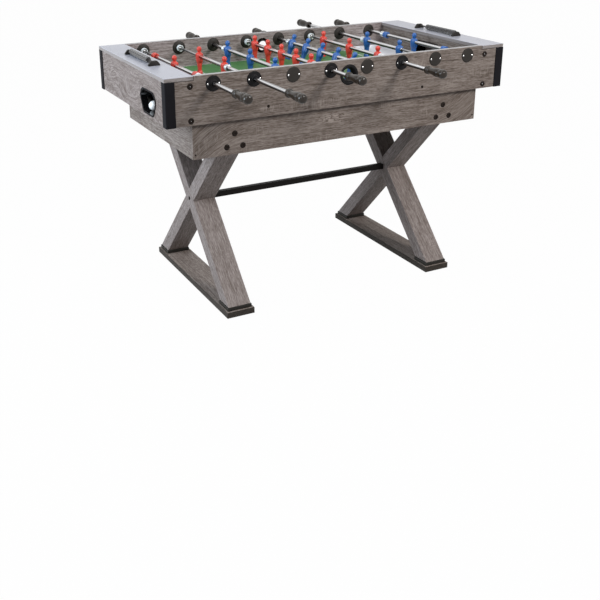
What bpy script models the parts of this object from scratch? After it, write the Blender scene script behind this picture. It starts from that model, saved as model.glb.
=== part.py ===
"""Multi game table: a football cabinet that lifts off a pool table on crossed legs.

Metres, +Z up, length along X. The origin is on the floor under the middle of the table.
"""
import math

import bmesh
import bpy
from mathutils import Matrix, Vector

# Clearances
SEAT_GAP = 0.0003
CUT_OVERRUN = 0.002
BORE_CLEARANCE = 0.0005
NEST_CLEARANCE = 0.0035

# Boards
WALL = 0.018
TOP_BOARD = 0.013
FIELD_BOARD = 0.009
EDGE_ROUND = 0.001

# Rods and playing field
ROD_PITCH = 0.1475
ROD_COUNT = 8
FIELD_WIDTH = 0.6564
ROD_DROP = 0.030
FIELD_DROP = 0.076
TUBE_RADIUS = 0.0072
TUBE_WALL = 0.0020
SHAFT_CLEARANCE = 0.0006
SHAFT_SOCKET_DEPTH = 0.012
SHAFT_ENGAGEMENT = 0.060
STOP_CLEARANCE = 0.001
HANDLE_CLEARANCE = 0.063
HANDLE_LENGTH = 0.103
HANDLE_RADIUS = 0.0160
HANDLE_SOCKET = 0.055

# Each rod: men on it, their spacing across the field, rest place in its travel, handle side and lean
ROD_MEN = (1, 2, 3, 5, 5, 3, 2, 1)
MEN_SPACING_SHARES = {1: 0.303, 2: 0.349, 3: 0.305, 5: 0.174}
ROD_REST_SHARES = (-0.045, 0.035, -0.142, 0.36, -0.375, 0.128, -0.02, -0.092)
NEAR_HANDLED = (1, 2, 4, 6)
LEANING_ROD = 5
LEAN_ANGLE = math.radians(20)

# Men
MAN_FIELD_CLEARANCE = 0.008
HEAD_REACH = 0.036
MAN_HALF_WIDTH = 0.0165
MAN_HALF_DEPTH = 0.0160
STOP_RADIUS = 0.0128
STOP_HALF_LENGTH = 0.0125
TUBE_STUB = 0.003
BUMPER_RADIUS = 0.0118
COLLAR_RADIUS = 0.0125
COLLAR_LENGTH = 0.016

# Bearings in the long walls
DISC_RADIUS = 0.0265
DISC_THICKNESS = 0.003
HUB_RADIUS = 0.0135
HUB_LENGTH = 0.006
INNER_DISC_THICKNESS = 0.005
BOLT_RADIUS = 0.0092
BOLT_HEIGHT = 0.0024

# Football cabinet
CABINET_HEIGHT = 0.1625
CABINET_OVERLAP = 0.0215
END_BAY = 0.0555
BOARD_NOSE = 0.0035
BOARD_OVERHANG = 0.005
GUARD_WALL = 0.003
GUARD_SIDE_LEG = 0.031
GUARD_END_LEG = 0.029
END_TRAY_LENGTH = 0.155
END_TRAY_RIM = 0.012
GOAL_WIDTH = 0.150
GOAL_HEIGHT = 0.068
GOAL_CORNER = 0.012
WALL_BOLT_INSET = 0.0075
WALL_BOLT_MARGIN = 0.0325

# Serving cups through the long walls
SERVE_RADIUS = 0.0345
SERVE_BORE = 0.0215
SERVE_LIP = 0.0025
SERVE_DROP = 0.0525
SERVE_SHELL = 0.0022

# Ball return in the end panels
RETURN_MARGIN = 0.1482
RETURN_WIDTH = 0.140
RETURN_TOP_WIDTH = 0.098
RETURN_FOOT_WIDTH = 0.090
RETURN_HEIGHT = 0.078
RETURN_RISE = 0.0145
RETURN_CORNER = 0.010
RETURN_SHELL = 0.0025
RETURN_DEPTH = 0.068
RETURN_LIP = 0.0020
BALL_RADIUS = 0.0165
BALL_PASSAGE = 0.038
TROUGH_BOARD = 0.005
TROUGH_FALL = 0.024

# Scorers on the end boards
SCORER_SPAN = 0.236
SCORER_ROD_RADIUS = 0.0028
BRACKET_THICKNESS = 0.009
BRACKET_BASE = 0.043
BRACKET_HEIGHT = 0.0172
BRACKET_TOP = 0.021
BEAD_COUNT = 10
BEAD_PITCH = 0.0185
BEAD_RADIUS = 0.0104
BEAD_GROOVE = 0.0012
BEAD_AXIS_HEIGHT = 0.0112

# Pool table base
BASE_BOTTOM = 0.600
APRON_HEIGHT = 0.145
BED_DROP = 0.038
BED_BOARD = 0.012
CUSHION_DEPTH = 0.030
CUSHION_HEIGHT = 0.030
CUSHION_NOSE = 0.011
POCKET_RADIUS = 0.024
POCKET_WALL = 0.0025
POCKET_DEPTH = 0.040
POCKET_INSET = 0.030
POCKET_MOUTH = 0.034

# Legs
LEG_DEPTH = 0.088
LEG_THICKNESS = 0.054
LEG_CENTRE = 0.4335
LEG_CROSS_HEIGHT = 0.348
LEG_TOP_MARGIN = 0.0271
FOOT_RAIL_WIDTH = 0.108
FOOT_RAIL_MARGIN = 0.0491
FOOT_RAIL_HEIGHT = 0.0225
SHOE_HEIGHT = 0.0132
SHOE_LIP = 0.003
STRETCHER_SIDE = 0.022
LEG_BOLT_DROP = 0.072
LEG_BOLT_TRIANGLE = 0.045
LEG_BOLT_SPREAD = 0.030

# Rounds are drawn with these many sides
ROD_SIDES = 8
DISC_SIDES = 12
BORE_SIDES = 12
CUP_SIDES = 18
BODY_SIDES = 8
HANDLE_SIDES = 10
BEAD_SIDES = 8
SCREW_SIDES = 8
CORNER_STEPS = 2

# Places worked out from the sizes above
FIELD_LENGTH = ROD_COUNT * ROD_PITCH
HALF_FIELD = FIELD_LENGTH / 2
HALF_INSIDE = FIELD_WIDTH / 2
HALF_WIDTH = HALF_INSIDE + WALL
HALF_BASE_LENGTH = HALF_FIELD - NEST_CLEARANCE
HALF_BASE_WIDTH = HALF_INSIDE - NEST_CLEARANCE
BASE_TOP = BASE_BOTTOM + APRON_HEIGHT
CABINET_BOTTOM = BASE_TOP - CABINET_OVERLAP
TABLE_TOP = CABINET_BOTTOM + CABINET_HEIGHT
ROD_HEIGHT = TABLE_TOP - ROD_DROP
FIELD_TOP = ROD_HEIGHT - FIELD_DROP
FIELD_BOTTOM = FIELD_TOP - FIELD_BOARD
BOARD_BOTTOM = TABLE_TOP - TOP_BOARD
GOAL_WALL_OUTER = HALF_FIELD + WALL
PANEL_INNER = GOAL_WALL_OUTER + END_BAY
HALF_CABINET = PANEL_INNER + WALL
HALF_TABLE = HALF_CABINET + BOARD_NOSE
BOARD_INNER = HALF_FIELD - BOARD_OVERHANG
TUBE_BORE = TUBE_RADIUS - TUBE_WALL
SHAFT_RADIUS = TUBE_BORE - SHAFT_CLEARANCE
BEARING_FACE = HALF_WIDTH + DISC_THICKNESS + HUB_LENGTH
INNER_FACE = HALF_INSIDE - INNER_DISC_THICKNESS
COLLAR_FACE = INNER_FACE - SEAT_GAP - COLLAR_LENGTH
LEG_BOTTOM = FOOT_RAIL_HEIGHT + SHOE_HEIGHT
APRON_INNER = HALF_BASE_WIDTH - WALL
BED_TOP = BASE_TOP - BED_DROP
BED_BOTTOM = BED_TOP - BED_BOARD
FOOT_REACH = FIELD_DROP - MAN_FIELD_CLEARANCE
RETURN_OFFSET = HALF_INSIDE - RETURN_MARGIN
LEG_TOP_SPREAD = APRON_INNER + LEG_TOP_MARGIN
LEG_SLOPE = LEG_TOP_SPREAD / (BED_BOTTOM - LEG_CROSS_HEIGHT)
LEG_FOOT_SPREAD = LEG_SLOPE * (LEG_CROSS_HEIGHT - LEG_BOTTOM)
FOOT_RAIL_LENGTH = 2 * (LEG_FOOT_SPREAD + FOOT_RAIL_MARGIN)

WOOD = (0.225, 0.195, 0.175)
PALE_WOOD = (0.36, 0.34, 0.33)
BLACK = (0.022, 0.020, 0.018)
GREEN = (0.06, 0.24, 0.05)
CLOTH = (0.03, 0.25, 0.06)
CHROME = (0.75, 0.75, 0.75)
RED = (0.75, 0.045, 0.02)
BLUE = (0.03, 0.11, 0.42)
GRIP = (0.040, 0.036, 0.032)
WHITE = (0.8, 0.8, 0.78)


def clear_scene():
    for item in list(bpy.data.objects):
        bpy.data.objects.remove(item, do_unlink=True)


def material(name, colour, roughness, metallic=0):
    finish = bpy.data.materials.new(name)
    finish.use_nodes = True
    shader = finish.node_tree.nodes["Principled BSDF"]
    shader.inputs["Base Color"].default_value = (*colour, 1)
    shader.inputs["Roughness"].default_value = roughness
    shader.inputs["Metallic"].default_value = metallic
    return finish


def empty(name, place, parent=None):
    """An empty that carries a moving group, at the place of its joint."""
    carrier = bpy.data.objects.new(name, None)
    bpy.context.collection.objects.link(carrier)
    carrier.parent = parent
    carrier.location = place
    return carrier


def finish_mesh(mesh, name, smooth=True):
    """Weld, turn the faces out and make a mesh datablock."""
    bmesh.ops.remove_doubles(mesh, verts=mesh.verts, dist=SEAT_GAP / 10)
    bmesh.ops.recalc_face_normals(mesh, faces=mesh.faces)
    data = bpy.data.meshes.new(name)
    mesh.to_mesh(data)
    mesh.free()
    if smooth:
        data.shade_smooth()
        data.set_sharp_from_angle(angle=math.radians(35))
    return data


def piece(name, mesh, colour, roughness=0.5, metallic=0, parent=None, place=(0, 0, 0), smooth=True):
    """One named sub-part with its own material."""
    part = bpy.data.objects.new(name, finish_mesh(mesh, name, smooth))
    part.data.materials.append(material(name, colour, roughness, metallic))
    bpy.context.collection.objects.link(part)
    part.parent = parent
    part.location = place
    return part


def helper(name, mesh, parent=None, place=(0, 0, 0)):
    """A shape that only cuts or adds to a piece."""
    guide = bpy.data.objects.new(name, finish_mesh(mesh, name, smooth=False))
    bpy.context.collection.objects.link(guide)
    guide.hide_render = True
    guide.display_type = "WIRE"
    guide.parent = parent
    guide.location = place
    return guide


def combine(part, guide, operation):
    step = part.modifiers.new(f"{operation.lower()} {guide.name}", "BOOLEAN")
    step.operation = operation
    step.solver = "EXACT"
    step.object = guide


def add_box(mesh, low, high):
    """A block between two opposite corners."""
    size = Vector(high) - Vector(low)
    middle = (Vector(high) + Vector(low)) / 2
    block = bmesh.ops.create_cube(mesh, size=1)["verts"]
    bmesh.ops.scale(mesh, verts=block, vec=size)
    bmesh.ops.translate(mesh, verts=block, vec=middle)
    return block


def box(low, high):
    mesh = bmesh.new()
    add_box(mesh, low, high)
    return mesh


def soften(mesh, width=EDGE_ROUND):
    """A small chamfer on every edge of a board."""
    bmesh.ops.bevel(mesh, geom=mesh.edges[:], offset=width, segments=1, profile=0.5,
                    affect="EDGES", material=-1)
    return mesh


def add_prism(mesh, outline, low, high, axis):
    """An outline drawn across the axis, extruded from low to high along it."""
    order = {"X": (2, 0, 1), "Y": (0, 2, 1), "Z": (0, 1, 2)}[axis]
    ring = []
    for across, up in outline:
        point = (across, up, low)
        ring.append(mesh.verts.new([point[k] for k in order]))
    face = mesh.faces.new(ring)
    grown = bmesh.ops.extrude_face_region(mesh, geom=[face])["geom"]
    moved = [item for item in grown if isinstance(item, bmesh.types.BMVert)]
    travel = [0, 0, 0]
    travel["XYZ".index(axis)] = high - low
    bmesh.ops.translate(mesh, verts=moved, vec=travel)
    return ring + moved


def prism(outline, low, high, axis):
    mesh = bmesh.new()
    add_prism(mesh, outline, low, high, axis)
    return mesh


def add_turned(mesh, profile, sides, centre=(0, 0, 0), axis="Y"):
    """Spin a closed profile of (along, radius) points round an axis through the centre."""
    along = Vector({"X": (1, 0, 0), "Y": (0, 1, 0), "Z": (0, 0, 1)}[axis])
    out = Vector({"X": (0, 0, 1), "Y": (1, 0, 0), "Z": (1, 0, 0)}[axis])
    first = [mesh.verts.new(Vector(centre) + along * a + out * r) for a, r in profile]
    closed = profile[0][1] > 0 or profile[-1][1] > 0
    edges = [mesh.edges.new(pair) for pair in zip(first, first[1:])]
    if closed:
        edges.append(mesh.edges.new((first[-1], first[0])))
    bmesh.ops.spin(mesh, geom=first + edges, cent=centre, axis=along, dvec=(0, 0, 0),
                   angle=math.tau, steps=sides, use_merge=True, use_duplicate=False)


def turned(profile, sides, centre=(0, 0, 0), axis="Y"):
    mesh = bmesh.new()
    add_turned(mesh, profile, sides, centre, axis)
    return mesh


def add_cylinder(mesh, radius, low, high, sides, centre=(0, 0, 0), axis="Y"):
    """A plain round bar along an axis, between two places on it."""
    add_turned(mesh, [(low, 0), (low, radius), (high, radius), (high, 0)], sides, centre, axis)


def rounded_outline(corners, radius, steps=CORNER_STEPS):
    """Replace each corner of an outline by an arc that both sides run into."""
    points = []
    count = len(corners)
    for k, corner in enumerate(corners):
        here = Vector(corner)
        back = (Vector(corners[k - 1]) - here).normalized()
        ahead = (Vector(corners[(k + 1) % count]) - here).normalized()
        half = back.angle(ahead) / 2
        reach = radius / math.tan(half)
        centre = here + (back + ahead).normalized() * (radius / math.sin(half))
        start = here + back * reach - centre
        end = here + ahead * reach - centre
        turn = start.angle_signed(end)
        for step in range(steps + 1):
            points.append(centre + Matrix.Rotation(-turn * step / steps, 2) @ start)
    return [(point.x, point.y) for point in points]


def rod_x(rod):
    return (rod - (ROD_COUNT + 1) / 2) * ROD_PITCH


def handle_side(rod):
    """-1 where the handle is at the near wall, 1 where it is at the far one."""
    return -1 if rod in NEAR_HANDLED else 1


def men_places(rod):
    """Where the men or the goalkeeper's stops sit along a rod, from its middle."""
    count = ROD_MEN[rod - 1]
    spacing = MEN_SPACING_SHARES[count] * FIELD_WIDTH
    if count == 1:
        return [-spacing, 0, spacing]
    return [(k - (count - 1) / 2) * spacing for k in range(count)]


def end_half_length(rod):
    return STOP_HALF_LENGTH if ROD_MEN[rod - 1] == 1 else MAN_HALF_WIDTH


def rod_travel(rod):
    """How far a rod slides each way from its middle."""
    reach = max(men_places(rod)) + end_half_length(rod) + TUBE_STUB
    return COLLAR_FACE - STOP_CLEARANCE - reach


def rod_shift(rod):
    """Where a rod rests in its travel."""
    return ROD_REST_SHARES[rod - 1] * rod_travel(rod)


# Base


def apron_outline():
    """Section of a long apron with its cushion, from the outer face (0) inwards."""
    drop = CUSHION_HEIGHT / 3
    return [
        (0, BASE_BOTTOM),
        (0, BASE_TOP),
        (WALL, BASE_TOP),
        (WALL + CUSHION_DEPTH - CUSHION_NOSE / 3, BASE_TOP - CUSHION_NOSE / 3),
        (WALL + CUSHION_DEPTH, BASE_TOP - CUSHION_NOSE),
        (WALL + drop, BASE_TOP - CUSHION_HEIGHT),
        (WALL, BASE_TOP - CUSHION_HEIGHT),
        (WALL, BASE_BOTTOM),
    ]


def cushion_gap(mesh, place, half, along, inner):
    """A block that takes the cushion away beside a pocket, clear of the apron board."""
    low = BASE_TOP - CUSHION_HEIGHT - CUT_OVERRUN
    high = BASE_TOP + CUT_OVERRUN
    reach = CUSHION_DEPTH + CUT_OVERRUN
    across = sorted((inner, inner - math.copysign(reach, inner)))
    if along == "X":
        add_box(mesh, (place - half, across[0], low), (place + half, across[1], high))
    else:
        add_box(mesh, (across[0], place - half, low), (across[1], place + half, high))


def make_long_apron(name, side, base):
    outline = [(side * (HALF_BASE_WIDTH - depth), height) for depth, height in apron_outline()]
    apron = piece(name, prism(outline, -HALF_BASE_LENGTH, HALF_BASE_LENGTH, "X"), WOOD, 0.55,
                  parent=base, smooth=False)
    gaps = bmesh.new()
    inner = side * APRON_INNER
    cushion_gap(gaps, 0, POCKET_MOUTH, "X", inner)
    for end in (-1, 1):
        half = (WALL + CUSHION_DEPTH + POCKET_MOUTH) / 2
        cushion_gap(gaps, end * (HALF_BASE_LENGTH - half + CUT_OVERRUN), half + CUT_OVERRUN, "X", inner)
    combine(apron, helper(f"{name}_pocket_gaps", gaps, base), "DIFFERENCE")
    bolts = bmesh.new()
    top = BASE_TOP - LEG_BOLT_DROP
    for end in (-1, 1):
        for shift, drop in ((0, 0), (-LEG_BOLT_SPREAD, LEG_BOLT_TRIANGLE), (LEG_BOLT_SPREAD, LEG_BOLT_TRIANGLE)):
            centre = (end * LEG_CENTRE + shift, side * HALF_BASE_WIDTH, top - drop)
            bolt_head(bolts, centre, side)
    combine(apron, helper(f"{name}_bolts", bolts, base), "UNION")
    return apron


def bolt_head(mesh, centre, side):
    """A low round head standing on a long wall, sunk a little into it."""
    sink = -side * BOLT_HEIGHT
    top = side * BOLT_HEIGHT
    profile = [(sink, 0), (sink, BOLT_RADIUS), (top, BOLT_RADIUS - BOLT_HEIGHT / 2), (top, 0)]
    add_turned(mesh, profile, SCREW_SIDES, centre)


def make_end_apron(name, side, base):
    outline = [(side * (HALF_BASE_LENGTH - depth), height) for depth, height in apron_outline()]
    half = APRON_INNER - SEAT_GAP
    apron = piece(name, prism(outline, -half, half, "Y"), WOOD, 0.55, parent=base, smooth=False)
    gaps = bmesh.new()
    inner = side * (HALF_BASE_LENGTH - WALL)
    for end in (-1, 1):
        reach = (CUSHION_DEPTH + POCKET_MOUTH) / 2
        cushion_gap(gaps, end * (half - reach + CUT_OVERRUN), reach + CUT_OVERRUN, "Y", inner)
    combine(apron, helper(f"{name}_pocket_gaps", gaps, base), "DIFFERENCE")
    return apron


def pocket_places():
    inset = POCKET_INSET + WALL
    corner_x = HALF_BASE_LENGTH - inset
    corner_y = HALF_BASE_WIDTH - inset
    return [(x, y) for x in (-corner_x, 0, corner_x) for y in (-corner_y, corner_y)]


def make_pool_bed(base):
    """The cloth-covered bed with its six drop pockets."""
    half_x = HALF_BASE_LENGTH - WALL - SEAT_GAP
    half_y = APRON_INNER - SEAT_GAP
    bed = piece("pool_bed", box((-half_x, -half_y, BED_BOTTOM), (half_x, half_y, BED_TOP)), CLOTH, 0.9,
                parent=base, smooth=False)
    cups = bmesh.new()
    bores = bmesh.new()
    floor = BED_TOP - POCKET_DEPTH - BED_BOARD
    for x, y in pocket_places():
        add_cylinder(cups, POCKET_RADIUS + POCKET_WALL, floor, BED_BOTTOM + BED_BOARD / 2, DISC_SIDES, (x, y, 0), "Z")
        add_cylinder(bores, POCKET_RADIUS, floor + POCKET_WALL, BED_TOP + CUT_OVERRUN, DISC_SIDES, (x, y, 0), "Z")
    combine(bed, helper("pocket_cups", cups, base), "UNION")
    combine(bed, helper("pocket_bores", bores, base), "DIFFERENCE")
    return bed


def beam(lean, centre_x):
    """A long leg beam through the crossing, leaning to +Y at its top where lean is 1."""
    slope = Vector((0, lean * LEG_SLOPE, 1)).normalized()
    across = Vector((0, slope.z, -slope.y))
    reach = BED_BOTTOM / slope.z
    mesh = bmesh.new()
    block = bmesh.ops.create_cube(mesh, size=1)["verts"]
    bmesh.ops.scale(mesh, verts=block, vec=(LEG_DEPTH, LEG_THICKNESS, 2 * reach))
    turn = Matrix((Vector((1, 0, 0)), across, slope)).transposed()
    bmesh.ops.rotate(mesh, verts=block, matrix=turn)
    bmesh.ops.translate(mesh, verts=block, vec=(centre_x, 0, LEG_CROSS_HEIGHT))
    trim(mesh, (0, 0, LEG_BOTTOM + SEAT_GAP), (0, 0, -1))
    trim(mesh, (0, 0, BED_BOTTOM - SEAT_GAP), (0, 0, 1))
    for side in (-1, 1):
        trim(mesh, (0, side * (APRON_INNER - SEAT_GAP), 0), (0, side, 0), above=BASE_BOTTOM)
    return mesh, across


def trim(mesh, place, normal, above=None):
    """Cut away what lies beyond a plane and close the cut."""
    if above is not None and not any(v.co.z > above and (v.co - Vector(place)).dot(normal) > 0
                                     for v in mesh.verts):
        return
    cut = bmesh.ops.bisect_plane(mesh, geom=mesh.verts[:] + mesh.edges[:] + mesh.faces[:],
                                 plane_co=place, plane_no=normal, clear_outer=True)
    rim = [item for item in cut["geom_cut"] if isinstance(item, bmesh.types.BMEdge)]
    bmesh.ops.contextual_create(mesh, geom=rim)


def make_leg(name, side, base):
    """A crossed leg: one through beam, and a second beam in two halves butted on it."""
    centre_x = side * LEG_CENTRE
    through, across = beam(1, centre_x)
    piece(f"{name}_leg_through_beam", through, WOOD, 0.55, parent=base, smooth=False)
    for half, sign in (("upper", 1), ("lower", -1)):
        mesh, _ = beam(-1, centre_x)
        face = Vector((0, 0, LEG_CROSS_HEIGHT)) - across * sign * (LEG_THICKNESS / 2 + SEAT_GAP)
        trim(mesh, face, across * sign)
        piece(f"{name}_leg_{half}_half", mesh, WOOD, 0.55, parent=base, smooth=False)


def make_foot_rail(name, side, base):
    """The floor board under a crossed leg, with the black shoes that the beams stand on."""
    centre_x = side * LEG_CENTRE
    half = FOOT_RAIL_WIDTH / 2
    length = FOOT_RAIL_LENGTH / 2
    board = soften(box((centre_x - half, -length, 0), (centre_x + half, length, FOOT_RAIL_HEIGHT)))
    rail = piece(name, board, WOOD, 0.55, parent=base, smooth=False)
    shoes = bmesh.new()
    half_cut = LEG_THICKNESS / 2 * math.hypot(1, LEG_SLOPE)
    for end in (-1, 1):
        y = end * LEG_FOOT_SPREAD
        add_box(shoes,
                (centre_x - LEG_DEPTH / 2 - SHOE_LIP, y - half_cut - SHOE_LIP, FOOT_RAIL_HEIGHT / 2),
                (centre_x + LEG_DEPTH / 2 + SHOE_LIP, y + half_cut + SHOE_LIP, LEG_BOTTOM))
    combine(rail, helper(f"{name}_shoes", shoes, base), "UNION")


def make_base():
    base = empty("base", (0, 0, 0))
    make_long_apron("apron_front", -1, base)
    make_long_apron("apron_back", 1, base)
    make_end_apron("apron_left", -1, base)
    make_end_apron("apron_right", 1, base)
    make_pool_bed(base)
    for name, side in (("left", -1), ("right", 1)):
        make_leg(name, side, base)
        make_foot_rail(f"{name}_foot_rail", side, base)
    inner = LEG_CENTRE - LEG_DEPTH / 2 - SEAT_GAP
    half = STRETCHER_SIDE / 2
    bar = box((-inner, -half, LEG_CROSS_HEIGHT - half), (inner, half, LEG_CROSS_HEIGHT + half))
    piece("stretcher", soften(bar), BLACK, 0.4, 0.6, parent=base, smooth=False)
    return base


# Football cabinet


def bearing_shapes(side, discs, bores):
    """Bearing and cover discs on a long wall, and the bores that the rods turn in."""
    for rod in range(1, ROD_COUNT + 1):
        centre = (rod_x(rod), side * HALF_WIDTH, ROD_HEIGHT)
        inner = (rod_x(rod), side * HALF_INSIDE, ROD_HEIGHT)
        outer_disc = [(-side * DISC_THICKNESS, 0), (-side * DISC_THICKNESS, DISC_RADIUS),
                      (side * DISC_THICKNESS, DISC_RADIUS - DISC_THICKNESS / 2)]
        if handle_side(rod) == side:
            outer_disc += [(side * DISC_THICKNESS, HUB_RADIUS),
                           (side * (DISC_THICKNESS + HUB_LENGTH), HUB_RADIUS - DISC_THICKNESS),
                           (side * (DISC_THICKNESS + HUB_LENGTH), 0)]
            add_cylinder(bores, TUBE_RADIUS + BORE_CLEARANCE,
                         side * (INNER_FACE - CUT_OVERRUN), side * (BEARING_FACE + CUT_OVERRUN),
                         BORE_SIDES, (rod_x(rod), 0, ROD_HEIGHT))
        else:
            outer_disc.append((side * DISC_THICKNESS, 0))
            add_cylinder(bores, SHAFT_RADIUS + BORE_CLEARANCE,
                         side * (INNER_FACE - CUT_OVERRUN), side * (HALF_INSIDE + SHAFT_SOCKET_DEPTH),
                         BORE_SIDES, (rod_x(rod), 0, ROD_HEIGHT))
        add_turned(discs, outer_disc, DISC_SIDES, centre)
        add_turned(discs, [(side * DISC_THICKNESS, 0), (side * DISC_THICKNESS, DISC_RADIUS),
                           (-side * INNER_DISC_THICKNESS, HUB_RADIUS),
                           (-side * INNER_DISC_THICKNESS, 0)], DISC_SIDES, inner)


def make_long_wall(name, side, cabinet):
    """A long wall, notched at its ends for the end boards, with its bearings and cleat."""
    notch = BOARD_INNER - SEAT_GAP
    shoulder = BOARD_BOTTOM - SEAT_GAP
    outline = [(-HALF_CABINET, CABINET_BOTTOM), (HALF_CABINET, CABINET_BOTTOM), (HALF_CABINET, shoulder),
               (notch, shoulder), (notch, TABLE_TOP), (-notch, TABLE_TOP), (-notch, shoulder),
               (-HALF_CABINET, shoulder)]
    faces = sorted((side * HALF_WIDTH, side * HALF_INSIDE))
    wall = piece(name, prism(outline, faces[0], faces[1], "Y"), WOOD, 0.55, parent=cabinet, smooth=False)
    discs = bmesh.new()
    bores = bmesh.new()
    bearing_shapes(side, discs, bores)
    for end in (-1, 1):
        for height in (TABLE_TOP - WALL_BOLT_MARGIN, CABINET_BOTTOM + WALL_BOLT_MARGIN / 2):
            bolt_head(discs, (end * (HALF_FIELD + WALL_BOLT_INSET), side * HALF_WIDTH, height), side)
    cleat_half = HALF_FIELD - WALL
    cleat = sorted((side * (HALF_INSIDE - WALL), side * (HALF_INSIDE + WALL / 2)))
    add_box(discs, (-cleat_half, cleat[0], BASE_TOP + SEAT_GAP), (cleat_half, cleat[1], FIELD_BOTTOM - SEAT_GAP))
    serve = TABLE_TOP - SERVE_DROP
    cup = SERVE_RADIUS - SERVE_SHELL
    add_cylinder(bores, cup - SERVE_SHELL + SEAT_GAP, faces[0] - CUT_OVERRUN, faces[1] + CUT_OVERRUN,
                 CUP_SIDES, (0, 0, serve))
    combine(wall, helper(f"{name}_fittings", discs, cabinet), "UNION")
    combine(wall, helper(f"{name}_bores", bores, cabinet), "DIFFERENCE")


def make_serve_cup(name, side, cabinet):
    """The funnel through a long wall that the ball is served by."""
    serve = (0, side * HALF_WIDTH, TABLE_TOP - SERVE_DROP)
    neck = SERVE_RADIUS - 2 * SERVE_SHELL
    deep = -side * (WALL + SERVE_LIP)
    profile = [
        (side * SEAT_GAP, neck),
        (side * SEAT_GAP, SERVE_RADIUS),
        (side * SERVE_LIP, SERVE_RADIUS - SERVE_LIP / 2),
        (side * SERVE_LIP, neck - SERVE_SHELL),
        (-side * WALL / 2, SERVE_BORE),
        (deep, SERVE_BORE),
        (deep, SERVE_BORE + SERVE_SHELL),
    ]
    piece(name, turned(profile, CUP_SIDES, serve), BLACK, 0.4, parent=cabinet)


def return_outline(grow=0):
    """Outline of the ball return in an end panel, from its middle and up from the cabinet's foot."""
    low = RETURN_RISE
    high = low + RETURN_HEIGHT
    shoulder = low + RETURN_HEIGHT * 2 / 3
    corners = [
        (-RETURN_FOOT_WIDTH / 2, low - grow),
        (RETURN_FOOT_WIDTH / 2, low - grow),
        (RETURN_WIDTH / 2 + grow, shoulder),
        (RETURN_TOP_WIDTH / 2 + grow / 2, high + grow),
        (-RETURN_TOP_WIDTH / 2 - grow / 2, high + grow),
        (-RETURN_WIDTH / 2 - grow, shoulder),
    ]
    return rounded_outline(corners, RETURN_CORNER)


def placed_return(side, grow=0):
    middle = side * RETURN_OFFSET
    return [(middle + across, CABINET_BOTTOM + up) for across, up in return_outline(grow)]


def make_end_panel(name, side, cabinet):
    half = HALF_INSIDE - SEAT_GAP
    faces = sorted((side * PANEL_INNER, side * HALF_CABINET))
    panel = piece(name, box((faces[0], -half, CABINET_BOTTOM), (faces[1], half, BOARD_BOTTOM - SEAT_GAP)),
                  PALE_WOOD, 0.55, parent=cabinet, smooth=False)
    hole = prism(placed_return(side), faces[0] - CUT_OVERRUN, faces[1] + CUT_OVERRUN, "X")
    combine(panel, helper(f"{name}_return_hole", hole, cabinet), "DIFFERENCE")


def make_return_cup(name, side, cabinet):
    """The moulded cup that the ball rolls into, with a lip round the hole in the end panel."""
    outer = placed_return(side, -SEAT_GAP)
    lip = placed_return(side, RETURN_SHELL)
    inside = placed_return(side, -RETURN_SHELL)
    face = side * (HALF_CABINET + SEAT_GAP)
    front = side * (HALF_CABINET + RETURN_LIP)
    back = side * (HALF_CABINET - RETURN_DEPTH)
    cup = bmesh.new()
    rings = []
    for outline, x in ((lip, face), (lip, front), (inside, front), (inside, back + side * RETURN_SHELL)):
        rings.append([cup.verts.new((x, y, z)) for y, z in outline])
    rings.append([cup.verts.new((back, y, z)) for y, z in outer])
    rings.append([cup.verts.new((face, y, z)) for y, z in outer])
    for one, two in zip(rings, rings[1:] + rings[:1]):
        if one is rings[3]:
            continue
        for k in range(len(one)):
            cup.faces.new((one[k - 1], one[k], two[k], two[k - 1]))
    cup.faces.new(rings[3])
    cup.faces.new(rings[4])
    cup = piece(name, cup, BLACK, 0.45, parent=cabinet)
    rim = side * RETURN_OFFSET - side * RETURN_WIDTH / 2
    across = sorted((rim - side * BALL_RADIUS, rim + side * BALL_RADIUS))
    depth = sorted((side * (PANEL_INNER - CUT_OVERRUN), side * (PANEL_INNER - CUT_OVERRUN - BALL_PASSAGE)))
    sill = CABINET_BOTTOM + RETURN_RISE + RETURN_SHELL + CUT_OVERRUN
    window = box((depth[0], across[0], sill), (depth[1], across[1], sill + BALL_PASSAGE))
    combine(cup, helper(f"{name}_window", window, cabinet), "DIFFERENCE")


def trough(side):
    """The board behind a goal that the ball rolls down to the return cup."""
    low = CABINET_BOTTOM + RETURN_RISE + RETURN_SHELL + CUT_OVERRUN
    high = low + TROUGH_FALL
    start = side * (RETURN_OFFSET - RETURN_WIDTH / 2 - BALL_RADIUS)
    end = -side * (GOAL_WIDTH / 2 + BALL_RADIUS)
    outline = [(start, low - TROUGH_BOARD), (end, high - TROUGH_BOARD), (end, high), (start, low)]
    depth = sorted((side * (GOAL_WALL_OUTER - WALL / 2), side * (PANEL_INNER - SEAT_GAP)))
    return prism(outline, depth[0], depth[1], "X")


def rim_outline(wall, inward, root=0):
    """Section of a coved rim that lies on the field, from its root inwards and down to a thin edge."""
    seat = FIELD_TOP + SEAT_GAP
    face = [(wall, seat + END_TRAY_RIM)] if root else []
    return [(wall - inward * root, seat), (wall - inward * root, seat + END_TRAY_RIM), *face,
            (wall + inward * END_TRAY_RIM / 3, seat + END_TRAY_RIM / 3),
            (wall + inward * END_TRAY_RIM, seat)]


def end_rims(end, half):
    """The coved rims that turn the ball back: along the goal wall beside the goal, and along both long walls."""
    at_sides = bmesh.new()
    at_end = bmesh.new()
    root = WALL / 2
    post = GOAL_WIDTH / 2 + GOAL_CORNER
    for side in (-1, 1):
        along = sorted((end * (HALF_FIELD - END_TRAY_LENGTH), end * (HALF_FIELD + root)))
        across = sorted((side * post, side * half))
        add_prism(at_sides, rim_outline(side * half, -side), along[0], along[1], "X")
        add_prism(at_end, rim_outline(end * HALF_FIELD, -end, root), across[0], across[1], "Y")
    return at_sides, at_end


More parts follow.
